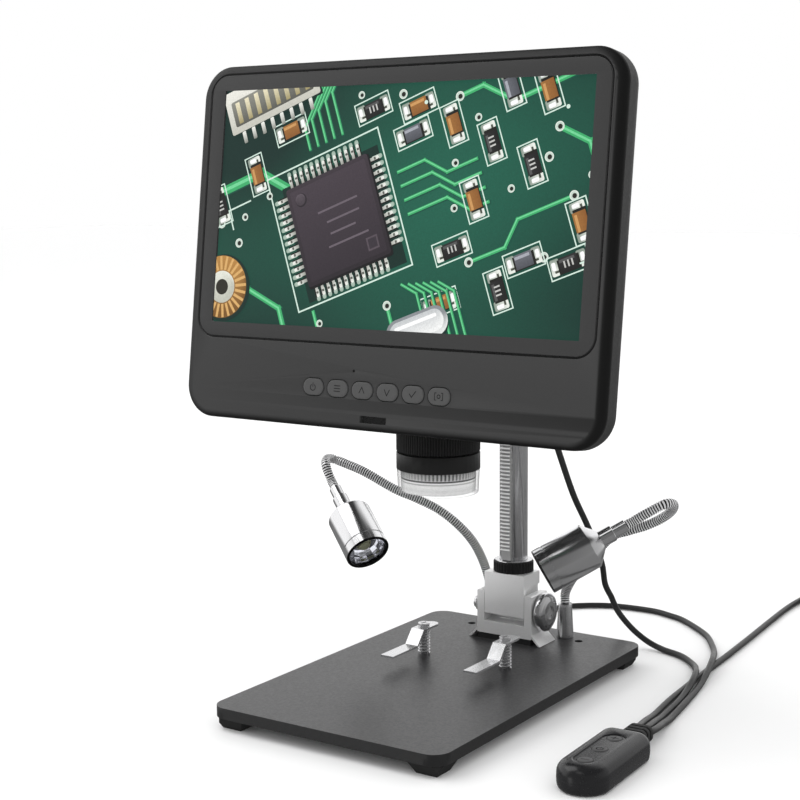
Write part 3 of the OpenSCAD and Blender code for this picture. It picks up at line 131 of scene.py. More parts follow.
class Build:
    """Gathers vertices and faces of one piece."""

    def __init__(self):
        self.v, self.f, self.m = [], [], []

    def add(self, verts, faces, m=0):
        o = len(self.v)
        self.v.extend([np.asarray(p, float) for p in verts])
        self.f.extend([tuple(i + o for i in f) for f in faces])
        self.m.extend([m] * len(faces))

    def loft(self, rings, start=False, end=False, m=0):
        n = len(rings[0])
        verts = [p for r in rings for p in r]
        faces = []
        for i in range(len(rings) - 1):
            for k in range(n):
                a, b = i * n + k, i * n + (k + 1) % n
                faces.append((a, b, b + n, a + n))
        if start:
            faces.append(tuple(range(n - 1, -1, -1)))
        if end:
            o = (len(rings) - 1) * n
            faces.append(tuple(range(o, o + n)))
        self.add(verts, faces, m)

    def flat(self, loops, place, m=0, flip=False):
        """Fills 2D loops, the first one outside and the rest holes, put in space by place(x, y)."""
        tris = tessellate_polygon([[Vector((p[0], p[1], 0)) for p in l] for l in loops])
        pts = [p for l in loops for p in l]
        faces = [t[::-1] if flip else t for t in tris]
        self.add([place(*p) for p in pts], faces, m)

    def done(self, name, material, body=None, **kw):
        return link(name, self.v, self.f, material, body, index=self.m, **kw)


def rrect(w, h, r, n=10, cx=0.0, cy=0.0):
    """A rectangle with round corners, n steps to a corner."""
    pts = []
    for k, (sx, sy) in enumerate(((1, 1), (-1, 1), (-1, -1), (1, -1))):
        for i in range(n + 1):
            a = math.radians(90 * (k + i / n))
            pts.append((cx + sx * (w / 2 - r) + r * math.cos(a), cy + sy * (h / 2 - r) + r * math.sin(a)))
    return pts


def circle(r, n=32, cx=0.0, cy=0.0):
    turns = [2 * math.pi * i / n for i in range(n)]
    return [(cx + r * math.cos(a), cy + r * math.sin(a)) for a in turns]


def curve(points, steps):
    """A smooth line through the points, with steps to each stretch."""
    p = [np.array(q, float) for q in points]
    out = []
    for i in range(len(p) - 1):
        a, b, c, d = p[max(i - 1, 0)], p[i], p[i + 1], p[min(i + 2, len(p) - 1)]
        for k in range(steps):
            s = k / steps
            bend = (2 * a - 5 * b + 4 * c - d) * s * s + (3 * b - a - 3 * c + d) * s**3
            out.append(0.5 * (2 * b + (c - a) * s + bend))
    return np.array(out + [p[-1]])


def even(points, count):
    """The same line with count points at equal distances."""
    p = np.asarray(points, float)
    s = np.concatenate([[0], np.cumsum(np.linalg.norm(np.diff(p, axis=0), axis=1))])
    t = np.linspace(0, s[-1], count)
    return np.stack([np.interp(t, s, p[:, k]) for k in range(3)], 1)


def length_of(points):
    return float(np.linalg.norm(np.diff(np.asarray(points, float), axis=0), axis=1).sum())


def sweep(p, radii, sides=16, ref=(0, 0, 1)):
    """Rings round a line, with as little twist as can be."""
    p = np.asarray(p, float)
    t = np.gradient(p, axis=0)
    t /= np.linalg.norm(t, axis=1)[:, None]
    u, rings = np.array(ref, float), []
    for c, d, r in zip(p, t, np.broadcast_to(radii, (len(p),))):
        u = unit(u - (u @ d) * d)
        rings.append([c + x * u + y * np.cross(d, u) for x, y in circle(r, sides)])
    return rings


def basis(z_way):
    z = unit(z_way)
    x = np.array((0, 0, 1.0)) if abs(z[2]) <= 0.95 else np.array((1.0, 0, 0))
    x = unit(x - (x @ z) * z)
    return x, np.cross(z, x), z


def lathe(name, profile, at, way, material, body, segs=64, angle=35):
    """Turns a profile of (radius, height) round an axis from at along way. A radius of 0 closes an end."""
    x, y, z = basis(way)
    at = np.asarray(at, float)
    b = Build()
    verts, faces, rows = [], [], []
    for r, h in profile:
        n = 1 if r <= 1e-6 else segs
        rows.append(range(len(verts), len(verts) + n))
        for k in range(n):
            a = 2 * math.pi * k / segs
            verts.append(at + z * h + (r * (math.cos(a) * x + math.sin(a) * y) if n > 1 else 0))
    for a, c in zip(rows, rows[1:]):
        for k in range(segs):
            k2 = (k + 1) % segs
            if len(a) == 1 and len(c) > 1:
                faces.append((a[0], c[k2], c[k]))
            elif len(c) == 1 and len(a) > 1:
                faces.append((a[k], a[k2], c[0]))
            elif len(a) > 1:
                faces.append((a[k], a[k2], c[k2], c[k]))
    b.add(verts, faces)
    return b.done(name, material, body, angle=angle)


# ---- materials
class Tree:
    """A node tree, with short ways to add to it. A socket given as a value is linked."""

    def __init__(self, tree):
        self.tree = tree

    def put(self, node, inputs):
        for key, value in inputs.items():
            if isinstance(value, bpy.types.NodeSocket):
                self.tree.links.new(value, node.inputs[key])
            else:
                node.inputs[key].default_value = value

    def node(self, kind, inputs=None, **settings):
        n = self.tree.nodes.new("ShaderNode" + kind)
        for key, value in settings.items():
            setattr(n, key, value)
        self.put(n, inputs or {})
        return n

    def span(self, source, low, high, start=0.0, end=1.0):
        values = {"From Min": low, "From Max": high, "To Min": start, "To Max": end, "Value": source}
        return self.node("MapRange", values).outputs["Result"]

    def part(self, source, key):
        return self.node("SeparateXYZ", {"Vector": source}).outputs[key]


class Shader(Tree):
    def __init__(self, name):
        self.material = bpy.data.materials.new(name)
        self.material.use_nodes = True
        super().__init__(self.material.node_tree)
        self.place = self.node("TexCoord").outputs["Object"]

    def set(self, **sockets):
        p = self.tree.nodes["Principled BSDF"]
        self.put(p, {key.replace("_", " "): value for key, value in sockets.items()})

    def noise(self, scale, detail, place=None):
        return self.node("TexNoise", {"Scale": scale, "Detail": detail, "Vector": place or self.place}).outputs["Fac"]

    def mix(self, share, a, b):
        mixed = self.node("Mix", data_type="RGBA")
        self.put(mixed, {"Factor": share, "A": (*a, 1), "B": (*b, 1)})
        return mixed.outputs["Result"]


def mat(name, color, rough=0.5, metal=0.0, spec=0.5, grain=0.0, grain_scale=900.0, bump=0.0, bump_scale=1500.0,
        transmission=0.0, ior=1.45, alpha=1.0, brushed=None, wear=0.0, turned=None, pull=0.0, edge=0.0, deep=None,
        side=None):
    s = Shader(name)
    s.set(Base_Color=(*color, 1), Roughness=rough, Metallic=metal, Specular_IOR_Level=spec,
          Transmission_Weight=transmission, IOR=ior, Alpha=alpha)
    if edge:
        # Clear in the middle and closer to solid where the wall is seen along its length
        facing = s.node("LayerWeight", {"Blend": 0.5}).outputs["Facing"]
        s.set(Alpha=s.span(facing, 0.55, 1.0, alpha, edge))
    if side is not None:
        # Painted shade: the upright faces are painted darker than the top, by the factor side
        facet = s.node("NewGeometry").outputs["Normal"]
        s.set(Base_Color=s.mix(s.span(s.part(facet, "Z"), 0.2, 0.8), [c * side for c in color], color))
    if turned is not None:
        # Turned on a lathe about this axis, which draws the shine out along it
        axis = s.node("CombineXYZ", {k: float(v) for k, v in zip("XYZ", turned)}).outputs["Vector"]
        to_world = s.node("VectorTransform", {"Vector": axis}, vector_type="VECTOR", convert_from="OBJECT",
                          convert_to="WORLD")
        s.set(Tangent=to_world.outputs["Vector"], Anisotropic=pull)
    if grain or wear:
        noise = s.noise(grain_scale, 4)
        if grain:
            s.set(Roughness=s.span(noise, 0.3, 0.7, max(rough - grain, 0.02), min(rough + grain, 1)))
        if wear:
            s.set(Base_Color=s.mix(noise, [c * (1 - wear) for c in color], [min(c * (1 + wear), 1) for c in color]))
    if deep:
        # Painted shade between teeth, darker from the tips at the first depth to the roots at the second
        s.set(Base_Color=s.mix(s.span(s.part(s.place, "Y"), *deep), color, [c * 0.36 for c in color]))
    if bump:
        place = s.node("Mapping", {"Scale": brushed, "Vector": s.place}).outputs["Vector"] if brushed else None
        height = s.noise(bump_scale, 3, place)
        s.set(Normal=s.node("Bump", {"Strength": bump, "Distance": 0.0001, "Height": height}).outputs["Normal"])
    return s.material


def tint_mat(name, rough=0.5, glow=0.0, spec=0.3, grain=0.15, grain_scale=2500.0):
    """Takes its colours from the mesh's own tint, with a fine grain over them."""
    s = Shader(name)
    tint = s.node("Attribute", attribute_name="tint").outputs["Color"]
    light = s.span(s.noise(grain_scale, 5), 0.3, 0.7, 1 - grain, 1 + grain)
    color = s.node("VectorMath", {0: tint, "Scale": light}, operation="SCALE").outputs["Vector"]
    if glow:
        s.set(Base_Color=(0.01, 0.01, 0.01, 1), Emission_Color=color, Emission_Strength=glow)
    else:
        s.set(Base_Color=color)
    s.set(Roughness=rough, Specular_IOR_Level=spec)
    return s.material


M = {
    # The plate's upright sides are painted darker than its top: painted shade.
    "plate": mat("plate_black", (0.033, 0.033, 0.034), rough=0.36, spec=0.65, grain=0.06, bump=0.25,
                 bump_scale=3500, side=0.35),
    "rubber": mat("rubber", (0.018, 0.018, 0.018), rough=0.75, spec=0.3, bump=0.3, bump_scale=2500),
    # The rack's tooth roots are painted darker: painted shade between the teeth.
    "bar": mat("rack_steel", (0.93, 0.93, 0.93), rough=0.35, metal=0.1, grain=0.05, grain_scale=500,
               deep=(0.0608, 0.0614)),
    "satin": mat("satin_steel", (0.86, 0.86, 0.86), rough=0.30, metal=0.5, grain=0.03, grain_scale=2500),
    "steel": mat("steel", (0.76, 0.76, 0.77), rough=0.22, metal=0.85, grain=0.04, grain_scale=250, bump=0.02,
                 bump_scale=300, brushed=(1, 1, 9)),
    "tube": mat("tube_chrome", (0.82, 0.82, 0.83), rough=0.22, metal=1, grain=0.03, grain_scale=300,
                turned=(0, 0, 1), pull=0.8),
    "nickel": mat("nickel", (0.72, 0.71, 0.69), rough=0.2, metal=1, grain=0.05),
    "aluminium": mat("aluminium", (0.78, 0.78, 0.79), rough=0.14, metal=1, grain=0.04, bump=0.05,
                     bump_scale=500, brushed=(12, 12, 1)),
    "back": mat("housing_back", (0.032, 0.032, 0.032), rough=0.5, spec=0.35, grain=0.06, bump=0.25, bump_scale=3600),
    "glass_border": mat("glass_border", (0.046, 0.046, 0.046), rough=0.5, spec=0.2, grain=0.04),
    "key": mat("key_grey", (0.075, 0.075, 0.075), rough=0.6, spec=0.3, grain=0.06, bump=0.25, bump_scale=3800),
    "mark": mat("mark", (0.014, 0.014, 0.014), rough=0.8, spec=0.1, grain=0.05),
    "barrel": mat("barrel_black", (0.012, 0.012, 0.012), rough=0.42, spec=0.4, grain=0.05),
    "ring": mat("ring_black", (0.012, 0.012, 0.012), rough=0.5, spec=0.4, grain=0.06, bump=0.1),
    "cord": mat("lead_grey", (0.021, 0.021, 0.021), rough=0.36, spec=0.5, grain=0.06, bump=0.12, bump_scale=1800),
    "remote": mat("remote_black", (0.013, 0.013, 0.014), rough=0.24, spec=0.55, grain=0.05, bump=0.03, bump_scale=3000),
    "soft": mat("soft_black", (0.025, 0.025, 0.025), rough=0.6, spec=0.3, grain=0.05, bump=0.2),
    "clear": mat("clear_plastic", (0.30, 0.30, 0.30), rough=0.08, alpha=0.06, grain=0.03, edge=0.75),
    "board": mat("board_green", (0.01, 0.12, 0.05), rough=0.4, wear=0.2, grain=0.08, grain_scale=400),
    "led": mat("led_white", (0.85, 0.85, 0.8), rough=0.5, grain=0.1),
    "lens": mat("lens_glass", (0.9, 0.95, 0.97), rough=0.03, transmission=1, ior=1.3, grain=0.01),
    "casting": mat("carriage_grey", (0.035, 0.035, 0.036), rough=0.5, grain=0.07, bump=0.3, bump_scale=2500),
    "panel": mat("panel_black", (0.01, 0.01, 0.01), rough=0.3, grain=0.05),
}
LOOK = {
    "plate": ["base_plate"], "rubber": ["rubber_feet"], "satin": ["tilt_bracket", "saddle"], "bar": ["rack"],
    "steel": ["bracket_screws", "pivot_bolt", "clip_screws", "shell_screws", "carriage_screws", "pinion_shaft",
              "left_clip", "right_clip"],
    "tube": ["column", "neck_sockets"], "nickel": ["usb_shell"], "aluminium": ["tilt_knob"], "back": ["camera_pod"],
    "board": ["main_board", "sensor_board"], "casting": ["carriage"], "barrel": ["lens_barrel"],
    "ring": ["collar", "column_cap", "focus_knobs"], "lens": ["lens_elements"], "led": ["led_ring"],
    "soft": ["usb_plug", "dc_plug", "remote_gland"],
}
for look, names in LOOK.items():
    for n in names:
        NODES[n].data.materials.clear()
        NODES[n].data.materials.append(M[look])


def soften(name, width=0.3, angle=40):
    """Rounds a CAD node's edges for the picture."""
    ob = NODES[name]
    weld = ob.modifiers.new("weld", "WELD")
    weld.merge_threshold = 2e-6
    bevel = ob.modifiers.new("bevel", "BEVEL")
    bevel.width = width * MM
    bevel.segments = 2
    bevel.limit_method = "ANGLE"
    bevel.angle_limit = math.radians(angle)
    bevel.harden_normals = True


SOFT_EDGES = {"base_plate": 0.45, "rubber_feet": 0.3, "tilt_bracket": 0.25, "saddle": 0.25, "carriage": 0.6,
              "camera_pod": 0.8, "dc_plug": 0.5, "usb_plug": 0.8, "lens_barrel": 0.3, "led_ring": 0.1,
              "neck_sockets": 0.3, "column": 0.3, "column_cap": 0.4, "collar": 0.15, "pivot_bolt": 0.2,
              "tilt_knob": 0.25, "clip_screws": 0.15, "remote_gland": 0.35}
for n, w in SOFT_EDGES.items():
    soften(n, w)
for n in ("left_clip", "right_clip"):
    soften(n, 0.12, 60)

# ---- cords
LEAD_R = 1.5
FLOOR_Z = 1.7
lamp_route = [
    (-26, 92, 3.4), (-26, 97, 3), (-26, 108, FLOOR_Z), (-26.4, 130, FLOOR_Z), (-25, 152, FLOOR_Z),
    (-17.5, 167, FLOOR_Z), (0, 178.6, FLOOR_Z), (23, 181.3, FLOOR_Z), (36, 177.6, FLOOR_Z), (47.8, 171.4, FLOOR_Z),
    (67.4, 153.2, FLOOR_Z),
    (78, 137, FLOOR_Z), (84.6, 124, 2.2), (90, 110, 4.4), (93.4, 100, 5.1), (96.6, 87, 3.9), (99.7, 70, 1.9),
    (103.9, 44, FLOOR_Z), (107, 22, FLOOR_Z), (109.2, 9, 3.4), (111.4, 0, 5), (112.3, -7, 5.9), (112.4, -10.75, 6),
]
lower_route = [
    (108.8, -10.9, 6), (108.7, -7, 5.9), (107.4, 1, 5), (105.2, 10, 3.4), (103, 22, FLOOR_Z), (100.6, 44, FLOOR_Z),
    (98.6, 58, 2.7), (96.6, 70, 4.6), (93.8, 80, 5), (90, 88.5, 3.7), (84.4, 99.4, 2), (73, 110.8, FLOOR_Z),
    (60, 116.4, 1.8), (51, 117.5, 4.4), (43.6, 115.2, 10.4), (38.2, 110.4, 19.3), (37.3, 103.4, 29),
]
upper_route = [
    (37.3, 103.3, 29.15), (36.6, 97.9, 36.65), (38.7, 90, 48.8), (39.2, 80, 62.4), (38.7, 72, 73.5), (39.6, 57, 89.8),
    (38.9, 44, 111.5), (38.3, 36, 126), (37.7, 28.6, 136), (37.3, 25, 138.3), (37.3, 22.05, 138.5),
]
power_route = [
    (105.2, -11, 6), (105, -7, 5.9), (103.6, -1, 5), (101.4, 8.7, 3.6), (98.9, 23, FLOOR_Z), (96.4, 44, FLOOR_Z),
    (94.9, 64.2, FLOOR_Z), (93.9, 80, FLOOR_Z), (93, 96, FLOOR_Z), (92, 115, FLOOR_Z), (90.8, 136, FLOOR_Z),
    (88.8, 166, FLOOR_Z), (86.6, 196.4, FLOOR_Z), (84.9, 225, FLOOR_Z), (84.9, 242, FLOOR_Z), (85.5, 252, FLOOR_Z),
    (85.5, 258.9, FLOOR_Z),
]
COIL_AT, COIL_R, COIL_PITCH, COIL_TURNS, COIL_DIP, COIL_STEPS = (109.5, 262.0), 23.85, 3.5, 4, 0.8, 96


def coil_point(t):
    """Inward for the coil's turns, up a step, and outward again on top of them."""
    climb = min(max((t - COIL_TURNS) / 0.5, 0), 1)
    turn = t if t < COIL_TURNS else COIL_TURNS if t < COIL_TURNS + 0.5 else 2 * COIL_TURNS + 0.5 - t
    r = COIL_R - COIL_PITCH * turn - COIL_DIP * math.sin(math.pi * climb)
    a = math.pi - 2 * math.pi * t
    return (COIL_AT[0] + r * math.cos(a), COIL_AT[1] + r * math.sin(a), FLOOR_Z + COIL_PITCH * climb)


def lead(name, points, node_names, body=None):
    b = Build()
    b.loft(sweep(points, LEAD_R), start=True, end=True)
    ob = b.done(name, M["cord"], body, angle=60)
    length_of(points) * MM
    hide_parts(*node_names)
    return ob


lead("lamp_cord", curve(lamp_route, 14), ["lamp_lead"], "base")
lower = lead("monitor_cord_lower", curve(lower_route, 14), ["monitor_lead_lower"])
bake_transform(lower)
upper = lead("monitor_cord_upper", curve(upper_route, 14), ["monitor_lead_upper"])
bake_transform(upper)
turns = [coil_point(k / COIL_STEPS) for k in range(int(COIL_STEPS * (2 * COIL_TURNS + 0.5)) + 1)]
tail = [(133.5, 262, 5.2), (133.5, 258, 5.2), (133.5, 252, 4.8), (133.5, 245, 4.4), (133.5, 238, 4.3)]
supply = np.concatenate([curve(power_route, 14), [(85.5, 259.6, FLOOR_Z)], turns, curve(tail, 6)[1:]])
lead("supply_cord", supply, ["power_lead", "power_coil"], "base")
# ---- screen housing
HOUSING = (217.0, 161.4)
HOUSING_MID = -16.3
HOUSING_R = 15.0
FACE_T, HOUSING_T = 2.5, 24.5
ROLL, ROLL_STEPS, CORNER_STEPS = (4.6, 3.4), 8, 14
GLASS = (204.5, 119.3)
GLASS_AT = (-0.4, 0.3)
GLASS_R = 8.5
GROOVE, HOLE_SOFT = 1.0, 0.25
PICTURE = (190.0, 106.0)
BUTTON_U = [-34.3 + 13.15 * i for i in range(6)]
BUTTON_V = -79.5
BUTTON = (11.0, 7.4)
SLOT_AT, SLOT_SIZE = (-1.6, -92.0), (13.6, 3.0)
DOT_AT = (-13.2, -71.4)


def housing_ring(inset_u, inset_v, depth):
    r = max(HOUSING_R - (inset_u + inset_v) / 2, 4)
    w, h = HOUSING[0] - 2 * inset_u, HOUSING[1] - 2 * inset_v
    return [on_screen(u, v, depth) for u, v in rrect(w, h, r, CORNER_STEPS, 0, HOUSING_MID)]


def face_hole(b, loop, depth):
    """Walls of a hole in the front face, with a soft edge, and its floor, painted near black as painted shade in the
    hole.
    """
    steps = [(HOLE_SOFT, 0), (HOLE_SOFT * 0.3, HOLE_SOFT * 0.3), (0, HOLE_SOFT)]
    rings = [[on_screen(*p, d) for p in grow(loop, k)] for k, d in steps]
    rings.append([on_screen(*p, depth) for p in loop])
    b.loft([r[::-1] for r in rings])
    b.flat([loop], lambda x, y: on_screen(x, y, depth), 1)


def grow(loop, k):
    """Moves a convex loop outward by k."""
    p = np.array(loop, float)
    c = p.mean(0)
    d = np.roll(p, -1, 0) - np.roll(p, 1, 0)
    n = np.stack([d[:, 1], -d[:, 0]], 1)
    n /= np.maximum(np.linalg.norm(n, axis=1), 1e-9)[:, None]
    if ((p - c) * n).sum() < 0:
        n = -n
    return p + n * k


b = Build()
rings = []
for i in range(ROLL_STEPS + 1):
    a = math.pi / 2 * i / ROLL_STEPS
    rings.append(housing_ring(ROLL[0] * (1 - math.sin(a)), ROLL[1] * (1 - math.sin(a)), FACE_T * (1 - math.cos(a))))
rings.append(housing_ring(0.55, 0.55, FACE_T + 0.01))
rings.append(housing_ring(0.55, 0.55, FACE_T + 0.6))
b.loft([r[::-1] for r in rings])
painted_shade_tints = []
for i in range(len(rings)):
    for j in range(len(rings[0])):
        # Painted shade: the roll is painted darker outward, and soonest on the side that faces right
        corner, step = divmod(j, CORNER_STEPS + 1)
        to_right = max(math.cos(math.radians(90 * (corner + step / CORNER_STEPS))), 0)
        k = min(max(1 - i / 4 - 0.65 * to_right, 0), 1)
        painted_shade_tints.append((0.005 + 0.037 * k,) * 3 + (1,))
pocket = rrect(GLASS[0] + 2 * GROOVE, GLASS[1] + 2 * GROOVE, GLASS_R + GROOVE, CORNER_STEPS, *GLASS_AT)
keys = [rrect(BUTTON[0] + 0.6, BUTTON[1] + 0.6, BUTTON[1] / 2 + 0.29, 12, u, BUTTON_V) for u in BUTTON_U]
slot = rrect(*SLOT_SIZE, 0.3, 3, *SLOT_AT)
dot = circle(0.6, 16, *DOT_AT)
flat_edge = rrect(HOUSING[0] - 2 * ROLL[0], HOUSING[1] - 2 * ROLL[1], HOUSING_R - sum(ROLL) / 2, CORNER_STEPS,
                  0, HOUSING_MID)
holes = [pocket, *keys, slot, dot]
b.flat([flat_edge, *[grow(h, HOLE_SOFT) for h in holes]], lambda x, y: on_screen(x, y, 0), 0)
for hole, deep in ((pocket, 1.3), *[(h, 2.4) for h in keys], (slot, 3.2), (dot, 1.2)):
    face_hole(b, hole, deep)
painted_shade_tints.extend([(0.042, 0.042, 0.042, 1)] * (len(b.v) - len(painted_shade_tints)))
M["front_edge"] = tint_mat("housing_front_edge", rough=0.5, spec=0.3, grain=0.06, grain_scale=4200)
front = b.done("front_shell_form", [M["front_edge"], M["panel"]], "head", angle=30, colors=painted_shade_tints)
front.visible_glossy = False
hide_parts("front_shell")

# The back, as (share of the depth, inset), with its vents and sunk screws
BACK_INSET = 22
LEVELS = [(0.37, 0), (0.53, 1.2), (0.69, 4.2), (0.84, 9), (0.94, 15), (1, BACK_INSET)]
smooth = curve([(FACE_T + 0.75, 0, 0)] + [(f * HOUSING_T, i, 0) for f, i in LEVELS], 5)
b = Build()
rings = [housing_ring(0.55, 0.55, FACE_T + 0.5), housing_ring(0.3, 0.3, FACE_T + 0.5)]
rings += [housing_ring(max(i, 0), max(i, 0), min(d, HOUSING_T)) for d, i, _ in smooth]
b.loft([r[::-1] for r in rings])
vents = [rrect(34, 1.8, 0.85, 4, u, 10 + k * 4.6) for u in (-58, 58) for k in range(6)]
sinks = [circle(3.0, 24, u, -64) for u in (-76, -42, 42, 76)]
back_edge = rrect(HOUSING[0] - 2 * BACK_INSET, HOUSING[1] - 2 * BACK_INSET, 4, CORNER_STEPS, 0, HOUSING_MID)
b.flat([back_edge, *vents, *sinks], lambda x, y: on_screen(x, y, HOUSING_T), 0, flip=True)
# The floors of the vents and screw sinks take the near black panel material: painted shade in the holes.
for holes, floor in ((vents, HOUSING_T - 2), (sinks, HOUSING_T - 2.4)):
    for h in holes:
        b.loft([[on_screen(*p, d) for p in h] for d in (HOUSING_T, floor)])
        b.flat([h], lambda x, y: on_screen(x, y, floor), 1, flip=True)
rear = b.done("rear_shell_form", [M["back"], M["panel"]], "head", angle=28)
rear.visible_glossy = False
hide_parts("rear_shell")

# Cover glass: a dark border round the picture
b = Build()
edge = rrect(*GLASS, GLASS_R, CORNER_STEPS, *GLASS_AT)
window = rrect(*PICTURE, 0.4, 3)
inner = grow(edge, -0.35)
steps = ((edge, 1.2), (edge, 0.45), (grow(edge, -0.12), 0.2), (inner, 0.1))
b.loft([[on_screen(*p, d) for p in l][::-1] for l, d in steps])
b.flat([inner, window], lambda x, y: on_screen(x, y, 0.1), 0)
b.loft([[on_screen(*p, d) for p in window] for d in (0.1, 1.2)], m=1)
glass = b.done("cover_glass", [M["glass_border"], M["panel"]], "head", angle=30)
glass.visible_glossy = False
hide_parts("screen_glass")
# ---- keys and their marks
def stroke(points, w, closed=False):
    """Flat strips along a line, one quad per stretch, with square joints."""
    p = [np.array(q, float) for q in points]
    pairs = list(zip(p, p[1:] + ([p[0]] if closed else [])))
    out = []
    for a, b in pairs:
        d = b - a
        n = np.linalg.norm(d)
        if n < 1e-9:
            continue
        d /= n
        s = np.array([-d[1], d[0]]) * w / 2
        e = d * w / 2
        out.append([a - e - s, b + e - s, b + e + s, a - e + s])
    return out


def arc(r, start, end, n=16, cx=0.0, cy=0.0):
    return [(cx + r * math.cos(math.radians(start + (end - start) * i / n)),
             cy + r * math.sin(math.radians(start + (end - start) * i / n))) for i in range(n + 1)]


MARKS = {
    "power": [(arc(1.35, 125, 415, 20, 0, -0.25), 0.34), ([(0, 0.1), (0, 1.7)], 0.34)],
    "menu": [([(-1.5, y), (1.5, y)], 0.36) for y in (-1.2, 0, 1.2)],
    "up": [([(-1.3, -1.1), (0, 1.4), (1.3, -1.1)], 0.36)],
    "down": [([(-1.3, 1.1), (0, -1.4), (1.3, 1.1)], 0.36)],
    "ok": [([(-1.5, 0.1), (-0.45, -1.2), (1.6, 1.4)], 0.4)],
    "capture": [([(-1.3, 1.5), (-2, 1.5), (-2, -1.5), (-1.3, -1.5)], 0.32),
                ([(1.3, 1.5), (2, 1.5), (2, -1.5), (1.3, -1.5)], 0.32), (arc(0.75, 0, 360, 16), 0.32)],
}
KEY_NAMES = ["power", "menu", "up", "down", "ok", "capture"]


PAD_TOP, MARK_LIFT = 0.5, 0.015
PAD = [(0, -1.4), (0, 0.1), (0.08, 0.28), (0.3, 0.44), (0.7, PAD_TOP), (1.6, PAD_TOP)]  # (inset, height over the face)
for name, u in zip(KEY_NAMES, BUTTON_U):
    b = Build()
    w, h = BUTTON
    sides = [(rrect(w - 2 * i, h - 2 * i, h / 2 - i - 0.01, 12, u, BUTTON_V), z) for i, z in PAD]
    b.loft([[on_screen(x, y, -z) for x, y in l] for l, z in sides], end=True)
    for points, width in MARKS[name]:
        for quad in stroke(points, width):
            b.add([on_screen(u + x, BUTTON_V + y, -PAD_TOP - MARK_LIFT) for x, y in quad], [(0, 1, 2, 3)], 1)
    key = b.done("key_%s_pad" % name, [M["key"], M["mark"]], "key_%s" % name, angle=40)
    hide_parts("button_%s" % name)
# ---- picture on the screen: a made-up circuit board
def rgb(code):
    c = [int(code[i:i + 2], 16) / 255 for i in (1, 3, 5)]
    return tuple(x / 12.92 if x <= 0.04045 else ((x + 0.055) / 1.055) ** 2.4 for x in c)


class Painting:
    """Flat convex patches in painter's order, cut off at the picture's edge."""

    def __init__(self):
        self.v, self.f, self.c = [], [], []
        self.turn, self.at = 0.0, (0.0, 0.0)
        self.layer = 0

    def place(self, p):
        c, s = math.cos(self.turn), math.sin(self.turn)
        return (self.at[0] + c * p[0] - s * p[1], self.at[1] + s * p[0] + c * p[1])

    def patch(self, points, color, end=None):
        """Fills a convex outline. With end, the colour runs to that one along the outline's second half."""
        tints = rgb(color), rgb(end or color)
        poly = [(*self.place(p), *tints[2 * i >= len(points)]) for i, p in enumerate(points)]
        for axis, sign in ((0, 1), (0, -1), (1, 1), (1, -1)):
            kept = []
            for p, q in zip(poly, poly[1:] + poly[:1]):
                dp, dq = PICTURE[axis] / 2 - sign * p[axis], PICTURE[axis] / 2 - sign * q[axis]
                if dp >= 0:
                    kept.append(p)
                if (dp >= 0) != (dq >= 0):
                    t = dp / (dp - dq)
                    kept.append(tuple(x + t * (y - x) for x, y in zip(p, q)))
            poly = kept
            if len(poly) < 3:
                return
        self.layer += 1
        o = len(self.v)
        depth = BASE_DEPTH - self.layer * LAYER_STEP
        self.v.extend(on_screen(p[0], p[1], depth) for p in poly)
        self.c.extend((*p[2:5], 1) for p in poly)
        self.f.append(tuple(range(o, o + len(poly))))

    def box(self, cx, cy, w, h, color, end=None, r=0.0, turn=0.0):
        corners = [(w / 2, h / 2), (-w / 2, h / 2), (-w / 2, -h / 2), (w / 2, -h / 2)]
        pts = rrect(w, h, min(r, w / 2, h / 2) - 1e-3, 5) if r else corners
        c, s = math.cos(turn), math.sin(turn)
        self.patch([(cx + c * x - s * y, cy + s * x + c * y) for x, y in pts], color, end)

    def disc(self, cx, cy, r, color, end=None, n=28):
        self.patch(circle(r, n, cx, cy), color, end)

    def line(self, points, w, color):
        for quad in stroke(points, w):
            self.patch(quad, color)
        for x, y in points[1:-1]:
            self.disc(x, y, w / 2, color, n=12)

    def frame(self, cx, cy, w, h, t, color):
        pts = [(cx - w / 2, cy - h / 2), (cx + w / 2, cy - h / 2), (cx + w / 2, cy + h / 2), (cx - w / 2, cy + h / 2)]
        for quad in stroke(pts, t, closed=True):
            self.patch(quad, color)


BOARD, DEEP, TRACE, SILK = "#1b604c", "#0a2c26", "#3fae6c", "#d9efe2"
BASE_DEPTH, LAYER_STEP = 1.1, 0.0006
art = Painting()
W, H = PICTURE
NX, NY = 24, 14
for i in range(NX):
    for j in range(NY):
        x0, y0 = -W / 2 + W * i / NX, -H / 2 + H * j / NY
        x1, y1 = x0 + W / NX, y0 + H / NY
        pts = [(x1, y1), (x0, y1), (x0, y0), (x1, y0)]
        mix = []
        for x, y in pts:
            k = 0.5 + 0.28 * math.sin(x * 0.031 + 0.8) + 0.22 * math.cos(y * 0.05 - x * 0.012)
            k = min(max(k - 0.3 * math.exp(-((x + 88) ** 2 + (y - 40) ** 2) / 1400), 0), 1)
            mix.append(tuple(a + (b - a) * k for a, b in zip(rgb(DEEP), rgb(BOARD))))
        o = len(art.v)
        art.v.extend(on_screen(x, y, BASE_DEPTH) for x, y in pts)
        art.c.extend((*m, 1) for m in mix)
        art.f.append((o, o + 1, o + 2, o + 3))

art.turn = math.radians(21)


def via(x, y, r=2.1):
    art.disc(x, y, r, "#e6efe6")
    art.disc(x, y, r * 0.82, "#c9d8cc")
    art.disc(x + 0.15, y - 0.15, r * 0.5, "#20211c")


def track(points, w, ends=()):
    art.line([(x + 0.35, y - 0.4) for x, y in points], w + 0.5, "#134f40")
    art.line(points, w, TRACE)
    art.line([(x - 0.15, y + 0.2) for x, y in points], w * 0.35, "#74d79a")
    for k in ends:
        via(*points[k])


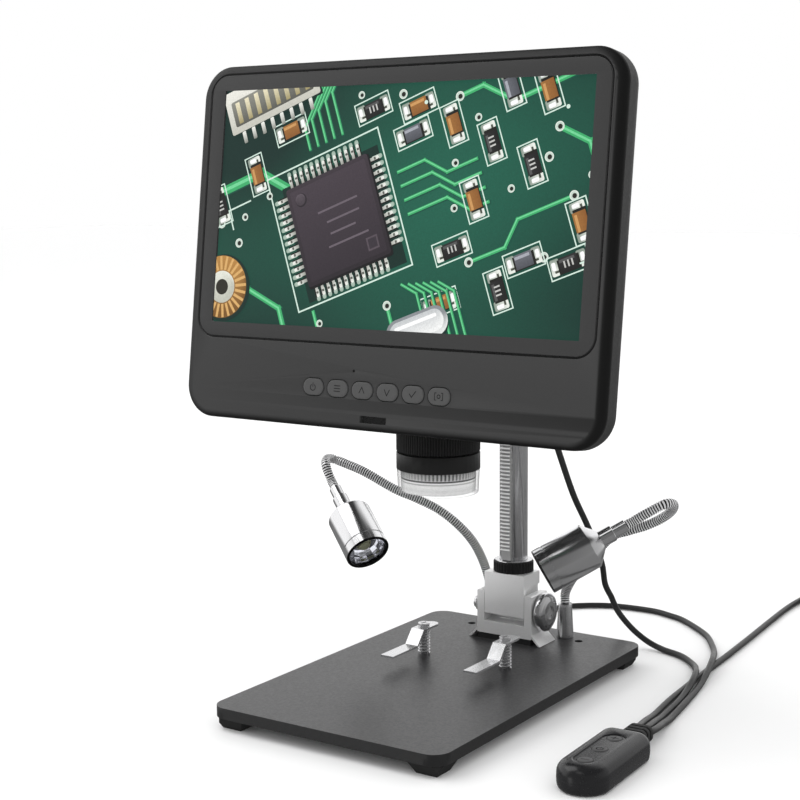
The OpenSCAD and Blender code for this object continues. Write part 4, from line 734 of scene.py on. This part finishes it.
def chip_part(x, y, body, turn):
    """A small two-ended part with its pads and its printed frame."""
    keep, at = art.turn, art.at
    art.at = art.place((x, y))
    art.turn += math.radians(turn)
    w, h = 11.5, 6.2
    art.frame(0, 0, w + 6.6, h + 3.4, 0.55, SILK)
    for s in (-1, 1):
        art.box(s * (w / 2 + 0.4), 0, 4.2, h + 0.8, "#8d9a8e", "#eef2ea", r=0.8)
        art.box(s * (w / 2 + 1.0), 0.6, 1.8, h * 0.55, "#ffffff", r=0.6)
        art.box(s * (w / 2 - 0.2), -h * 0.3, 2.4, 1.0, "#4c5046")
    art.box(0.2, -0.5, w - 1.2, h, "#1a1a16")
    art.box(0, 0, w - 3.2, h, body[0], body[1])
    art.box(-0.4, h * 0.28, w - 4.4, h * 0.2, body[2])
    if body is BLACK:
        for k in range(3):
            art.box(-1.8 + 1.8 * k, 0, 0.7, h * 0.45, "#c8c8c4")
    art.turn, art.at = keep, at


BROWN = ("#a5713a", "#8c5a2b", "#cf9a5e")
BLACK = ("#2b2b2b", "#191919", "#555555")
GREY = ("#6e7078", "#4f5158", "#a7a9b2")

# Wide copper paths and bundles of thin ones
track([(-110, 40), (-62, 40), (-44, 22)], 4.2)
track([(-120, -8), (-84, -8), (-70, -22), (-70, -70)], 2.6)
for k in range(5):
    track([(-33 + 4.6 * k, 40), (-33 + 4.6 * k, 50 + 2.4 * k), (-18 + 4.6 * k, 65 + 2.4 * k)], 1.3)
for k in range(4):
    y = 13 - 6.4 * k
    track([(8, y), (22 + 2 * k, y), (31 + 2 * k, y - 9), (46, y - 9)], 1.4)
track([(46, 32), (58, 32), (70, 20), (104, 20)], 2.2, ends=(0,))
track([(30, -36), (48, -36), (57, -27), (84, -27)], 1.6, ends=(0, 3))
track([(-52, -30), (-52, -44), (-38, -58)], 1.6, ends=(1,))
track([(-14, -40), (-14, -52), (6, -72)], 1.8, ends=(0,))
track([(86, 2), (97, -9), (97, -40)], 2.6, ends=(0,))
for x, y in ((-83, 14), (-90, 26), (20, 44), (78, -8), (64, -46), (18, -50)):
    via(x, y)

# Large square chip with leads on its four sides
CHIP = 46.0
art.at = art.place((-28, 4))
art.box(2.2, -2.6, CHIP + 8, CHIP + 8, "#0c2b25")
art.frame(0, 0, CHIP + 17, CHIP + 17, 0.7, SILK)
for side in range(4):
    for k in range(13):
        keep = art.turn
        art.turn += math.pi / 2 * side
        p = -19.2 + 3.2 * k
        art.box(p, CHIP / 2 + 4.6, 2.0, 5.6, "#9db3a4", "#d8e4da", r=0.9)
        art.box(p + 0.35, CHIP / 2 + 2.2, 1.9, 6.6, "#15140f")
        art.box(p, CHIP / 2 + 2.4, 1.45, 6.2, "#f4f5ee", "#8e9088", r=0.5)
        art.box(p, CHIP / 2 + 3.4, 1.2, 1.0, "#5d5f58")
        art.turn = keep
art.box(0.6, -0.8, CHIP + 0.8, CHIP + 0.8, "#141215", r=1.4)
art.box(0, 0, CHIP, CHIP, "#3d353c", "#2b252b", r=1.4)
art.box(0, 0, CHIP - 3.6, CHIP - 3.6, "#453c44", "#332c33", r=1.0)
art.disc(-16, 16, 3.1, "#272127")
art.disc(-16.3, 16.3, 2.7, "#5b525a", "#463e45")
for k in range(4):
    art.box(2 + (k % 2) * 1.5, 7 - 5.5 * k, 22 - 4 * (k % 3), 0.9, "#6a6069")
art.box(15, -15.5, 6, 6, "#564c54")
art.box(15, -15.5, 4.4, 4.4, "#39323a")
art.at = (0.0, 0.0)

# Small parts
for x, y, body, turn in (
        (40, 22, BROWN, 90), (55, 8, BLACK, 90), (70, -8, BLACK, 90), (40, -12, BROWN, 90), (55, -44, GREY, 0),
        (4, 44, BLACK, 0), (-64, 40, BROWN, 90), (84, -38, BROWN, 90), (24, -28, BLACK, 0),
        (26, 36, BROWN, 0), (70, 26, GREY, 90), (12, -48, BROWN, 0), (40, -52, BLACK, 90), (86, 18, BROWN, 90),
        (-88, 34, BLACK, 90), (74, -52, BLACK, 0), (-40, 52, BROWN, 0), (20, 26, GREY, 0)):
    chip_part(x, y, body, turn)
for k in range(6):
    track([(-4 + 3.6 * k, -34 - k), (2 + 3.6 * k, -40 - k), (2 + 3.6 * k, -75)], 1.2)
for x, y in ((-50, -36), (52, 20), (58, -14), (94, -22), (-76, 24), (0, 52), (36, 6), (30, -12), (-60, 28)):
    via(x, y, 1.7)

# Metal can of a crystal
art.box(-0.8 - 2, -55.6, 33, 13.6, "#0c2b25", r=6.6)
art.box(-2, -54, 32, 13, "#8d9195", "#e9ebea", r=6.4)
art.box(-2, -53.6, 28, 9.6, "#c9ccce", "#f6f7f6", r=4.6)
art.box(-2, -51.6, 22, 1.6, "#ffffff", r=0.7)

# Wound coil with a pale ring
art.disc(-97.2, -2.8, 15.4, "#0c2b25", n=40)
art.disc(-98, -2, 14.4, "#b98746", "#7b5526", n=40)
for a in range(0, 360, 15):
    art.box(*arc(11, a, a, 1, -98, -2)[0], 6.2, 1.3, "#dcae6c", turn=math.radians(a))
art.disc(-98, -2, 7.4, "#e9eadf", "#c2c3b6", n=32)
art.disc(-98, -2, 3.6, "#2c2a22", n=24)

# Pale connector with its contacts
art.box(-45, 71, 52, 20, "#0c2b25")
art.box(-46, 72, 52, 20, "#f0efe6", "#c9c8bd", r=1)
art.box(-46, 71, 46, 12, "#8f8f86", "#5b5b54", r=1)
for k in range(8):
    art.box(-65.5 + 5.6 * k, 71, 2.4, 10, "#efe7c8", "#a39769")
    art.box(-65.5 + 5.6 * k, 59, 2.0, 5.6, "#f4f5ee", "#8e9088", r=0.5)

# Printed lines and corner ticks
for x, y, sx, sy in ((-84, 30, 1, -1), (92, -54, -1, 1)):
    art.line([(x, y + 9 * sy), (x, y), (x + 13 * sx, y)], 0.7, SILK)
for x, y in ((30, 36), (92, 8)):
    art.disc(x, y, 0.9, SILK, n=12)

M["screen"] = tint_mat("screen_picture", rough=0.35, glow=1.0, grain=0.10, grain_scale=1600)
picture = link("screen_picture", art.v, art.f, M["screen"], "head", smooth=False, colors=art.c, weld=False)
picture.visible_glossy = False
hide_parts("lcd_panel")
# ---- lens
RING_Z, RING_H, BARREL_R = 115.5, 10.8, 19.25
BAND_Z = 107.5
SKIRT_Z, SKIRT_END_R = 96.5, 18.5

RIBS, RIB_LOW, RING_BORE = 96, 0.45, 17.6

b = Build()
rings = []
for z, cut_in in ((0, 0.7), (0.35, 0.35), (0.7, 0), (RING_H - 0.7, 0), (RING_H - 0.35, 0.35), (RING_H, 0.7)):
    rings.append([])
    for k in range(RIBS):
        for share, low in ((0.0, RIB_LOW), (0.28, 0.0), (0.62, 0.0), (0.9, RIB_LOW)):
            a = 2 * math.pi * (k + share) / RIBS
            r = BARREL_R - cut_in - low
            rings[-1].append((r * math.cos(a), r * math.sin(a), RING_Z + z))
bore = [[(x, y, z) for x, y in circle(RING_BORE, 4 * RIBS)] for z in (RING_Z, RING_Z + RING_H)]
b.loft([bore[0]] + rings + [bore[1], bore[0]])
grip = b.done("focus_grip", M["ring"], "focus", angle=25)
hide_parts("focus_ring")

# Clear skirt, with a reflector sleeve and a dark ring behind its wall; the sleeve is smooth, its ribs painted on as
# light and dark stripes, painted light and shade
top_r, wall = BARREL_R - 0.25, 1.5


def skirt_r(z):
    return SKIRT_END_R + (top_r - SKIRT_END_R) * (z - SKIRT_Z) / (BAND_Z - SKIRT_Z)


outer = [(skirt_r(z), z) for z in (SKIRT_Z + 0.5, 99.0, 102, 105, BAND_Z)]
profile = [(SKIRT_END_R - wall + 0.3, SKIRT_Z), (SKIRT_END_R - 0.35, SKIRT_Z), *outer]
profile += [(top_r - wall, BAND_Z), (skirt_r(99) - wall, 99), (SKIRT_END_R - wall, SKIRT_Z + 0.4),
            (SKIRT_END_R - wall + 0.3, SKIRT_Z)]
shade = lathe("clear_skirt", profile, (0, 0, 0), (0, 0, 1), M["clear"], "head", segs=128, angle=30)
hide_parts("skirt")

# The ribs are not modelled: light and dark stripes on the smooth sleeve are painted light and shade of their faces, and
# the dark stripes grow paler in three sweeps round it
b, tints = Build(), []
# (height, light stripe, dark stripe)
bands = [(SKIRT_Z + 0.9, 0.80, 0.80), (98.2, 0.95, 0.95), (99.4, 0.85, 0.85), (101.2, 1.0, 1.0), (102.0, 0.95, 0.95),
         (102.05, 0.62, 0.62), (102.6, 0.50, 0.50), (102.65, 1.0, 1.0), (103.3, 0.95, 0.95), (103.35, 0.10, 0.10),
         (104.1, 0.12, 0.12), (104.15, 0.75, 0.55), (104.6, 0.60, 0.08), (107.3, 0.42, 0.06)]
n = 240
for i, (z, light, dark) in enumerate(bands):
    row = []
    for k in range(n):
        a = 2 * math.pi * k / n
        fade = 0.5 + 0.5 * math.sin(a * 3.0 + 1.0)
        # Painted light and shade of the ribs: alternating light and dark stripes
        stripe = light if (k // 2) % 2 else dark + (light - dark) * fade * 0.6
        r = skirt_r(z) - wall - 0.15
        row.append((r * math.cos(a), r * math.sin(a), z))
        tints.append((stripe, stripe, stripe, 1))
    if i:
        o = (i - 1) * n
        b.f.extend((o + k, o + (k + 1) % n, o + n + (k + 1) % n, o + n + k) for k in range(n))
    b.v.extend(row)
M["reflector"] = tint_mat("reflector", rough=0.35, grain=0.05, grain_scale=900)
inner_band = link("skirt_reflector", b.v, b.f, M["reflector"], "head", colors=tints, weld=False)
# ---- lamps and goosenecks
def lamp_way(polar, azimuth):
    p, a = math.radians(polar), math.radians(azimuth)
    return np.array([math.sin(p) * math.cos(a), math.sin(p) * math.sin(a), math.cos(p)])


LAMPS = {
    "left": {"at": np.array([-51.0, 16.0, 58.0]), "way": lamp_way(54.2, 151.8), "route": [
        (-22, 83, 28.4), (-22, 83, 33), (-23.2, 79.2, 44), (-25.5, 73, 55.4), (-31, 67, 65), (-39.6, 61.5, 73.1),
        (-50.5, 57, 78.6), (-61, 54, 82.6), (-76.5, 50.2, 90.4), (-87.4, 48.6, 94), (-92.8, 48.3, 95.3),
        (-94.9, 45.2, 96.6), (-93.5, 40.1, 96.6), (-91.1, 36.5, 94.6), (-88.5, 35.2, 90.7)]},
    "right": {"at": np.array([38.0, 30.0, 57.1]), "way": lamp_way(61.4, 38.2), "route": [
        (22, 83, 28.4), (22, 83, 33), (25, 81.2, 38.4), (30, 78.4, 44.4), (40.7, 74, 54.9), (52.2, 72.2, 67.4),
        (61, 72.7, 71.4), (68.5, 74.5, 74.2), (76.4, 75.7, 78.4), (82.9, 73.6, 83.5), (86.1, 68, 87.9),
        (84.5, 62.1, 88.7), (79.3, 59.1, 85.6)]},
}
LAMP_R, LAMP_L, CONE_L, STEP, FERRULE_R, LENS_R = 11.0, 25.5, 5.5, 6.75, 4.0, 9.4
LAMP_LEN = LAMP_L + CONE_L + 2 * STEP
NECK_R, NECK_ROOT, RIB, HOSE_BEND = 2.3, 1.7, 1.2, 13.2

M["hose"] = mat("hose", (0.88, 0.88, 0.89), rough=0.25, metal=0.4, grain=0.05)
# The faces by each rib's root get a near black metal: painted shade in the hose's grooves.
M["hose_groove_painted_shade"] = mat("hose_groove_painted_shade", (0.10, 0.10, 0.10), rough=0.5, metal=1, grain=0.05)
M["rim"] = mat("rim", (0.03, 0.03, 0.03), rough=0.3, metal=1, grain=0.05)
M["bowl"] = mat("bowl", (0.85, 0.85, 0.88), rough=0.12, metal=1, grain=0.05, grain_scale=700)
M["chip"] = mat("chip", (0.42, 0.42, 0.27), rough=0.6, grain=0.08, wear=0.2)
M["lamp_glass"] = mat("lamp_glass", (0.97, 0.98, 1.0), rough=0.03, transmission=1, ior=1.12, grain=0.01)

for side, lamp in LAMPS.items():
    at, way, body = lamp["at"], lamp["way"], side + "_light"
    metal = mat(side + "_lamp_metal", (0.86, 0.86, 0.87), rough=0.17, metal=1, grain=0.02, grain_scale=400, turned=way,
                pull=0.75)
    cone, step = LAMP_L + CONE_L, LAMP_L + CONE_L + STEP
    shell = [(LAMP_R, 0.55), (LAMP_R, 4.5), (LAMP_R - 0.3, 4.7), (LAMP_R - 0.3, 5.1), (LAMP_R, 5.3),
             (LAMP_R, LAMP_L - 0.5), (LAMP_R - 0.25, LAMP_L), (FERRULE_R + 1.0, cone - 0.2), (FERRULE_R + 0.6, cone),
             (FERRULE_R, cone), (FERRULE_R, step - 0.3), (FERRULE_R - 0.3, step), (FERRULE_R - 0.9, step),
             (FERRULE_R - 0.9, LAMP_LEN - 0.2), (FERRULE_R - 1.1, LAMP_LEN), (1.2, LAMP_LEN)]
    ob = lathe(side + "_lamp_shell", shell, at, way, metal, body, segs=96, angle=28)
    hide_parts(side + "_lamp")
    rim = [(LAMP_R - 0.01, 0.6), (LAMP_R - 0.1, 0.22), (LAMP_R - 0.4, 0.02), (LAMP_R - 0.9, 0), (LENS_R + 0.3, 0.1),
           (LENS_R + 0.1, 0.4), (LENS_R + 0.1, 3.4)]
    ob = lathe(side + "_lamp_lip", rim, at, way, M["rim"], body, segs=96, angle=50)
    bowl = [(LENS_R + 0.08, 2.4)]
    bowl += [(2.6 + 6.6 * math.cos(t), 2.5 + 6.4 * math.sin(t)) for t in np.linspace(0.1, 1.5, 9)]
    ob = lathe(side + "_lamp_bowl", bowl, at, way, M["bowl"], body, segs=16, angle=5)
    led = [(0, 4.3), (2.4, 4.3), (2.7, 4.6), (2.7, 5.6), (3.6, 5.7), (3.8, 6.2), (3.8, 9.4)]
    ob = lathe(side + "_lamp_led", led, at, way, M["chip"], body, segs=32, angle=30)
    pane = [(0, 0.9), (6, 0.95), (LENS_R - 0.2, 1.2), (LENS_R, 1.5), (LENS_R, 1.9), (0, 1.9)]
    ob = lathe(side + "_lamp_glass", pane, at, way, M["lamp_glass"], body)
    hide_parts(side + "_lamp_lens")

    mouth = at + way * (LAMP_LEN + 0.15)
    line = curve(lamp["route"] + [tuple(mouth + way * 4.6), tuple(mouth)], 16)
    ribs = int(length_of(line) / RIB)
    p = even(line, ribs * 4 + 1)
    radii = [(NECK_ROOT, NECK_R, NECK_R + 0.05, NECK_R)[i % 4] for i in range(len(p))]
    rings = sweep(p, radii, 20, ref=(1, 0, 0))
    cut = len(rings) - 1 - int(HOSE_BEND / RIB) * 4
    for name, first, last in ((side + "_hose", 0, cut), (side + "_hose_end", cut, len(rings) - 1)):
        b = Build()
        for i in range(first, last):
            # Faces next to each root ring take the groove's painted shade
            b.loft([rings[i], rings[i + 1]], start=i == 0, end=i == len(rings) - 2, m=1 if i % 4 in (0, 3) else 0)
        neck = b.done(name, [M["hose"], M["hose_groove_painted_shade"]], side + "_arm" if first == 0 else None, angle=50)
        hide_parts(side + "_neck")
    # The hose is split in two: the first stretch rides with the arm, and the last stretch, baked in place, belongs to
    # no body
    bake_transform(neck)
# ---- column and clips
# Bright washer on the collar
COLLAR_TOP = 50.8
washer = [(7.1, COLLAR_TOP - 0.15), (7.1, COLLAR_TOP + 0.12), (9.3, COLLAR_TOP + 0.12), (9.5, COLLAR_TOP - 0.1)]
ob = lathe("collar_washer", washer, (0, COLUMN_Y, 0), (0, 0, 1), M["steel"], "column")

# Clip springs
SPRING_R, WIRE_R, CURLS, CURL_STEPS = 2.675, 0.425, 8, 28
POST_X, POST_Y = 22.7, 22
SPRING_H, PRESS = 12.6, 5.5
for side, x in (("left", -POST_X), ("right", POST_X)):
    low, high = PLATE_TOP + WIRE_R + 0.05, PLATE_TOP + SPRING_H - WIRE_R - 0.05
    ring = circle(SPRING_R, CURL_STEPS, x, POST_Y)
    n = CURL_STEPS * CURLS
    pts = [(*ring[k % CURL_STEPS], low + (high - low) * k / n) for k in range(n + 1)]
    b = Build()
    b.loft(sweep(pts, WIRE_R, 10), start=True, end=True)
    ob = b.done(side + "_spring_wire", M["steel"], side + "_clip_post", angle=60)
    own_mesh(ob)
    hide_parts(side + "_clip_spring")
# ---- remote
REMOTE_AT, REMOTE_TURN = np.array([110.2, -51.5]), math.radians(2)
REMOTE_L, REMOTE_W, REMOTE_H, SPLIT_Z = 55.0, 22.5, 12.0, 5.0
STRIP_W, STRIP_L, STRIP_SET, REMOTE_MID = 10.0, 37.0, 0.5, -2.0
KEY_R, KEY_PITCH = 3.2, 14.1


def on_remote(x, y, z):
    c, s = math.cos(REMOTE_TURN), math.sin(REMOTE_TURN)
    return np.array([REMOTE_AT[0] + c * x - s * y, REMOTE_AT[1] + s * x + c * y, z])


def remote_outline(inset, n=16):
    """A round nose and two round corners at the tail."""
    half, tail, corner = REMOTE_W / 2 - inset, REMOTE_L / 2 - inset, max(6 - inset, 1)
    pts = arc(half, 180, 360, 2 * n, 0, (REMOTE_W - REMOTE_L) / 2)
    pts += arc(corner, 0, 90, n - 1, half - corner, tail - corner)
    return pts + arc(corner, 90, 180, n - 1, corner - half, tail - corner)


def remote_shell(name, levels, node, strip=False):
    b = Build()
    smooth = curve([(inset, z, 0) for z, inset in levels], 6)
    rings = [[on_remote(x, y, z) for x, y in remote_outline(max(i, 0))] for i, z, _ in smooth]
    if not strip:
        b.loft(rings, start=True, end=True)
    else:
        b.loft(rings, start=True)
        top = remote_outline(max(smooth[-1][0], 0))
        hole = rrect(STRIP_W, STRIP_L, STRIP_W / 2 - 0.01, 14, 0, REMOTE_MID)
        rim = grow(hole, 0.35)
        z = smooth[-1][1]
        b.flat([top, rim], lambda x, y: on_remote(x, y, z))
        edge = ((rim, z), (grow(hole, 0.1), z - 0.12), (hole, z - STRIP_SET))
        b.loft([[on_remote(x, y, h) for x, y in l] for l, h in edge])
        keys = [circle(KEY_R + 0.2, 32, 0, REMOTE_MID + k * KEY_PITCH) for k in (-1, 0, 1)]
        b.flat([hole, *keys], lambda x, y: on_remote(x, y, z - STRIP_SET))
        for k in keys:
            b.loft([[on_remote(x, y, h) for x, y in k] for h in (z - STRIP_SET, z - STRIP_SET - 1.2)], m=1)
            b.flat([k], lambda x, y: on_remote(x, y, z - STRIP_SET - 1.2), 1)
    ob = b.done(name, [M["remote"], M["mark"]], "base", angle=35)
    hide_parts(node)


# (height, inset)
UNDER = [(0, 2.2), (0.35, 1.3), (1.2, 0.5), (2.6, 0.15), (SPLIT_Z - 0.1, 0), (SPLIT_Z, 0.15)]
UPPER = [(SPLIT_Z + 0.1, 0.2), (SPLIT_Z + 0.25, 0.02), (REMOTE_H - 4.2, 0.2), (REMOTE_H - 2.6, 0.85),
         (REMOTE_H - 1.2, 2.1), (REMOTE_H - 0.35, 3.6), (REMOTE_H - 0.05, 4.8), (REMOTE_H, 5.6)]
remote_shell("remote_under", UNDER, "remote_bottom")
remote_shell("remote_upper", UPPER, "remote_top", strip=True)
BAR = [(-1.6, 0), (1.6, 0)]
REMOTE_MARKS = {"brighter": [BAR, [(0, -1.6), (0, 1.6)]], "dimmer": [BAR],
                "power": [arc(1.35, 125, 415, 16, 0, -0.2), [(0, 0.2), (0, 1.7)]]}
M["remote_key"] = mat("remote_key", (0.06, 0.06, 0.061), rough=0.4, spec=0.4, grain=0.05, bump=0.1)
for k, name in ((1, "brighter"), (0, "power"), (-1, "dimmer")):
    b = Build()
    y0 = REMOTE_MID + k * KEY_PITCH
    top = REMOTE_H - STRIP_SET + 0.3
    cap = ((0, 1.8), (0, 0.35), (0.1, 0.15), (0.35, 0.02), (0.7, 0))
    cap = [(circle(KEY_R - inset, 32, 0, y0), drop) for inset, drop in cap]
    b.loft([[on_remote(x, y, top - drop) for x, y in l] for l, drop in cap], end=True)
    for line in REMOTE_MARKS[name]:
        for quad in stroke(line, 0.45):
            b.add([on_remote(x, y0 + y, top + 0.012) for x, y in quad], [(0, 1, 2, 3)], 1)
    ob = b.done("remote_key_%s_cap" % name, [M["remote_key"], M["mark"]], "remote_key_" + name, angle=40)
    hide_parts("remote_" + name)
# ---- stage
floor_mat = bpy.data.materials.new("floor")
floor_mat.use_nodes = True
fp = floor_mat.node_tree.nodes["Principled BSDF"]
fp.inputs["Base Color"].default_value = (0.93, 0.93, 0.93, 1)
fp.inputs["Roughness"].default_value = 0.6
fp.inputs["Specular IOR Level"].default_value = 0.15
FLOOR_HALF = 6000
corners = [(FLOOR_HALF * x, FLOOR_HALF * y, -0.02) for x, y in ((-1, -1), (1, -1), (1, 1), (-1, 1))]
floor = link("floor", corners, [(0, 1, 2, 3)], floor_mat, smooth=False)
floor.visible_glossy = False

world = bpy.data.worlds.new("studio")
bpy.context.scene.world = world
world.use_nodes = True
world.node_tree.nodes.clear()
sky = Tree(world.node_tree)
coord = sky.node("TexCoord").outputs["Generated"]


def sum_of(kind, a, b):
    return sky.node("Math", {0: a, 1: b}, operation=kind).outputs[0]


def ramp_of(value, low, high, stops):
    """Grey steps over a value between low and high."""
    ramp = sky.node("ValToRGB", {"Fac": sky.span(value, low, high)})
    while len(ramp.color_ramp.elements) < len(stops):
        ramp.color_ramp.elements.new(0.5)
    for e, (at, v) in zip(ramp.color_ramp.elements, stops):
        e.position = (at - low) / (high - low)
        e.color = (v, v, v, 1)
    return ramp.outputs["Color"]


def by_bearing(*stops):
    return ramp_of(bearing, -180.0, 180.0, stops)


def by_height(*stops):
    return ramp_of(height, -1.0, 1.0, stops)


# What shiny metal sees: a grey ground, a ring of soft boxes and dark gaps, a dark top and a strip lamp
height = sky.part(coord, "Z")
bearing = sum_of("ARCTAN2", sky.part(coord, "Y"), sky.part(coord, "X"))
bearing = sum_of("MULTIPLY", bearing, 180 / math.pi)
ring = by_bearing((-180, 1.05), (-146, 1.05), (-132, 0.16), (-50, 0.14), (-20, 0.2), (10, 0.35), (60, 0.5), (78, 1.0),
                  (140, 1.05), (180, 1.05))
ground_share = by_height((-0.16, 1.0), (-0.04, 0.0))
top_share = by_height((0.52, 0.0), (0.66, 1.0))
strip = sum_of("MULTIPLY", by_bearing((-118, 0), (-108, 1.2), (-82, 1.2), (-74, 0)),
               by_height((0.72, 0), (0.77, 1), (0.85, 1), (0.89, 0)))
fill = sum_of("MULTIPLY", by_bearing((45, 0), (62, 1), (105, 1), (118, 0)),
              by_height((0.5, 1), (0.72, 0.9), (0.97, 0.05)))


def blend_of(share, below, above):
    keep = sum_of("MULTIPLY", sum_of("SUBTRACT", 1.0, share), below)
    return sum_of("ADD", keep, sum_of("MULTIPLY", share, above))


light = blend_of(top_share, ring, sum_of("ADD", sum_of("ADD", 0.03, strip), fill))
low = sum_of("MULTIPLY", by_bearing((-134, 0), (-127, 1.1), (-118, 1.1), (-111, 0)),
             by_height((-0.42, 0), (-0.30, 1), (-0.12, 1), (0.0, 0)))
light = sum_of("ADD", blend_of(ground_share, light, 0.2), low)
studio = sky.node("Background", {"Strength": 1.0, "Color": light})
soft = sky.node("Background", {"Color": (1, 1, 1, 1), "Strength": 1.13})
white = sky.node("Background", {"Color": (1, 1, 1, 1)})
path = sky.node("LightPath")
shader = soft
for ray, seen in (("Is Glossy Ray", studio), ("Is Camera Ray", white)):
    shader = sky.node("MixShader", {"Fac": path.outputs[ray], 1: shader.outputs[0], 2: seen.outputs[0]})
sky.node("OutputWorld", {"Surface": shader.outputs[0]})

LIGHT_AT, LIGHT_AIM, LIGHT_SIZE, LIGHT_POWER = (-1.0, -0.3, 1.5), (0, 0, 0.1), 1.2, 9
data = bpy.data.lights.new("key_light", "AREA")
data.shape = "RECTANGLE"
data.size = data.size_y = LIGHT_SIZE
data.energy = LIGHT_POWER
ob = bpy.data.objects.new("key_light", data)
bpy.context.scene.collection.objects.link(ob)
ob.location = LIGHT_AT
ob.rotation_euler = (Vector(LIGHT_AIM) - Vector(LIGHT_AT)).to_track_quat("-Z", "Y").to_euler()
# ---- end
note_size()
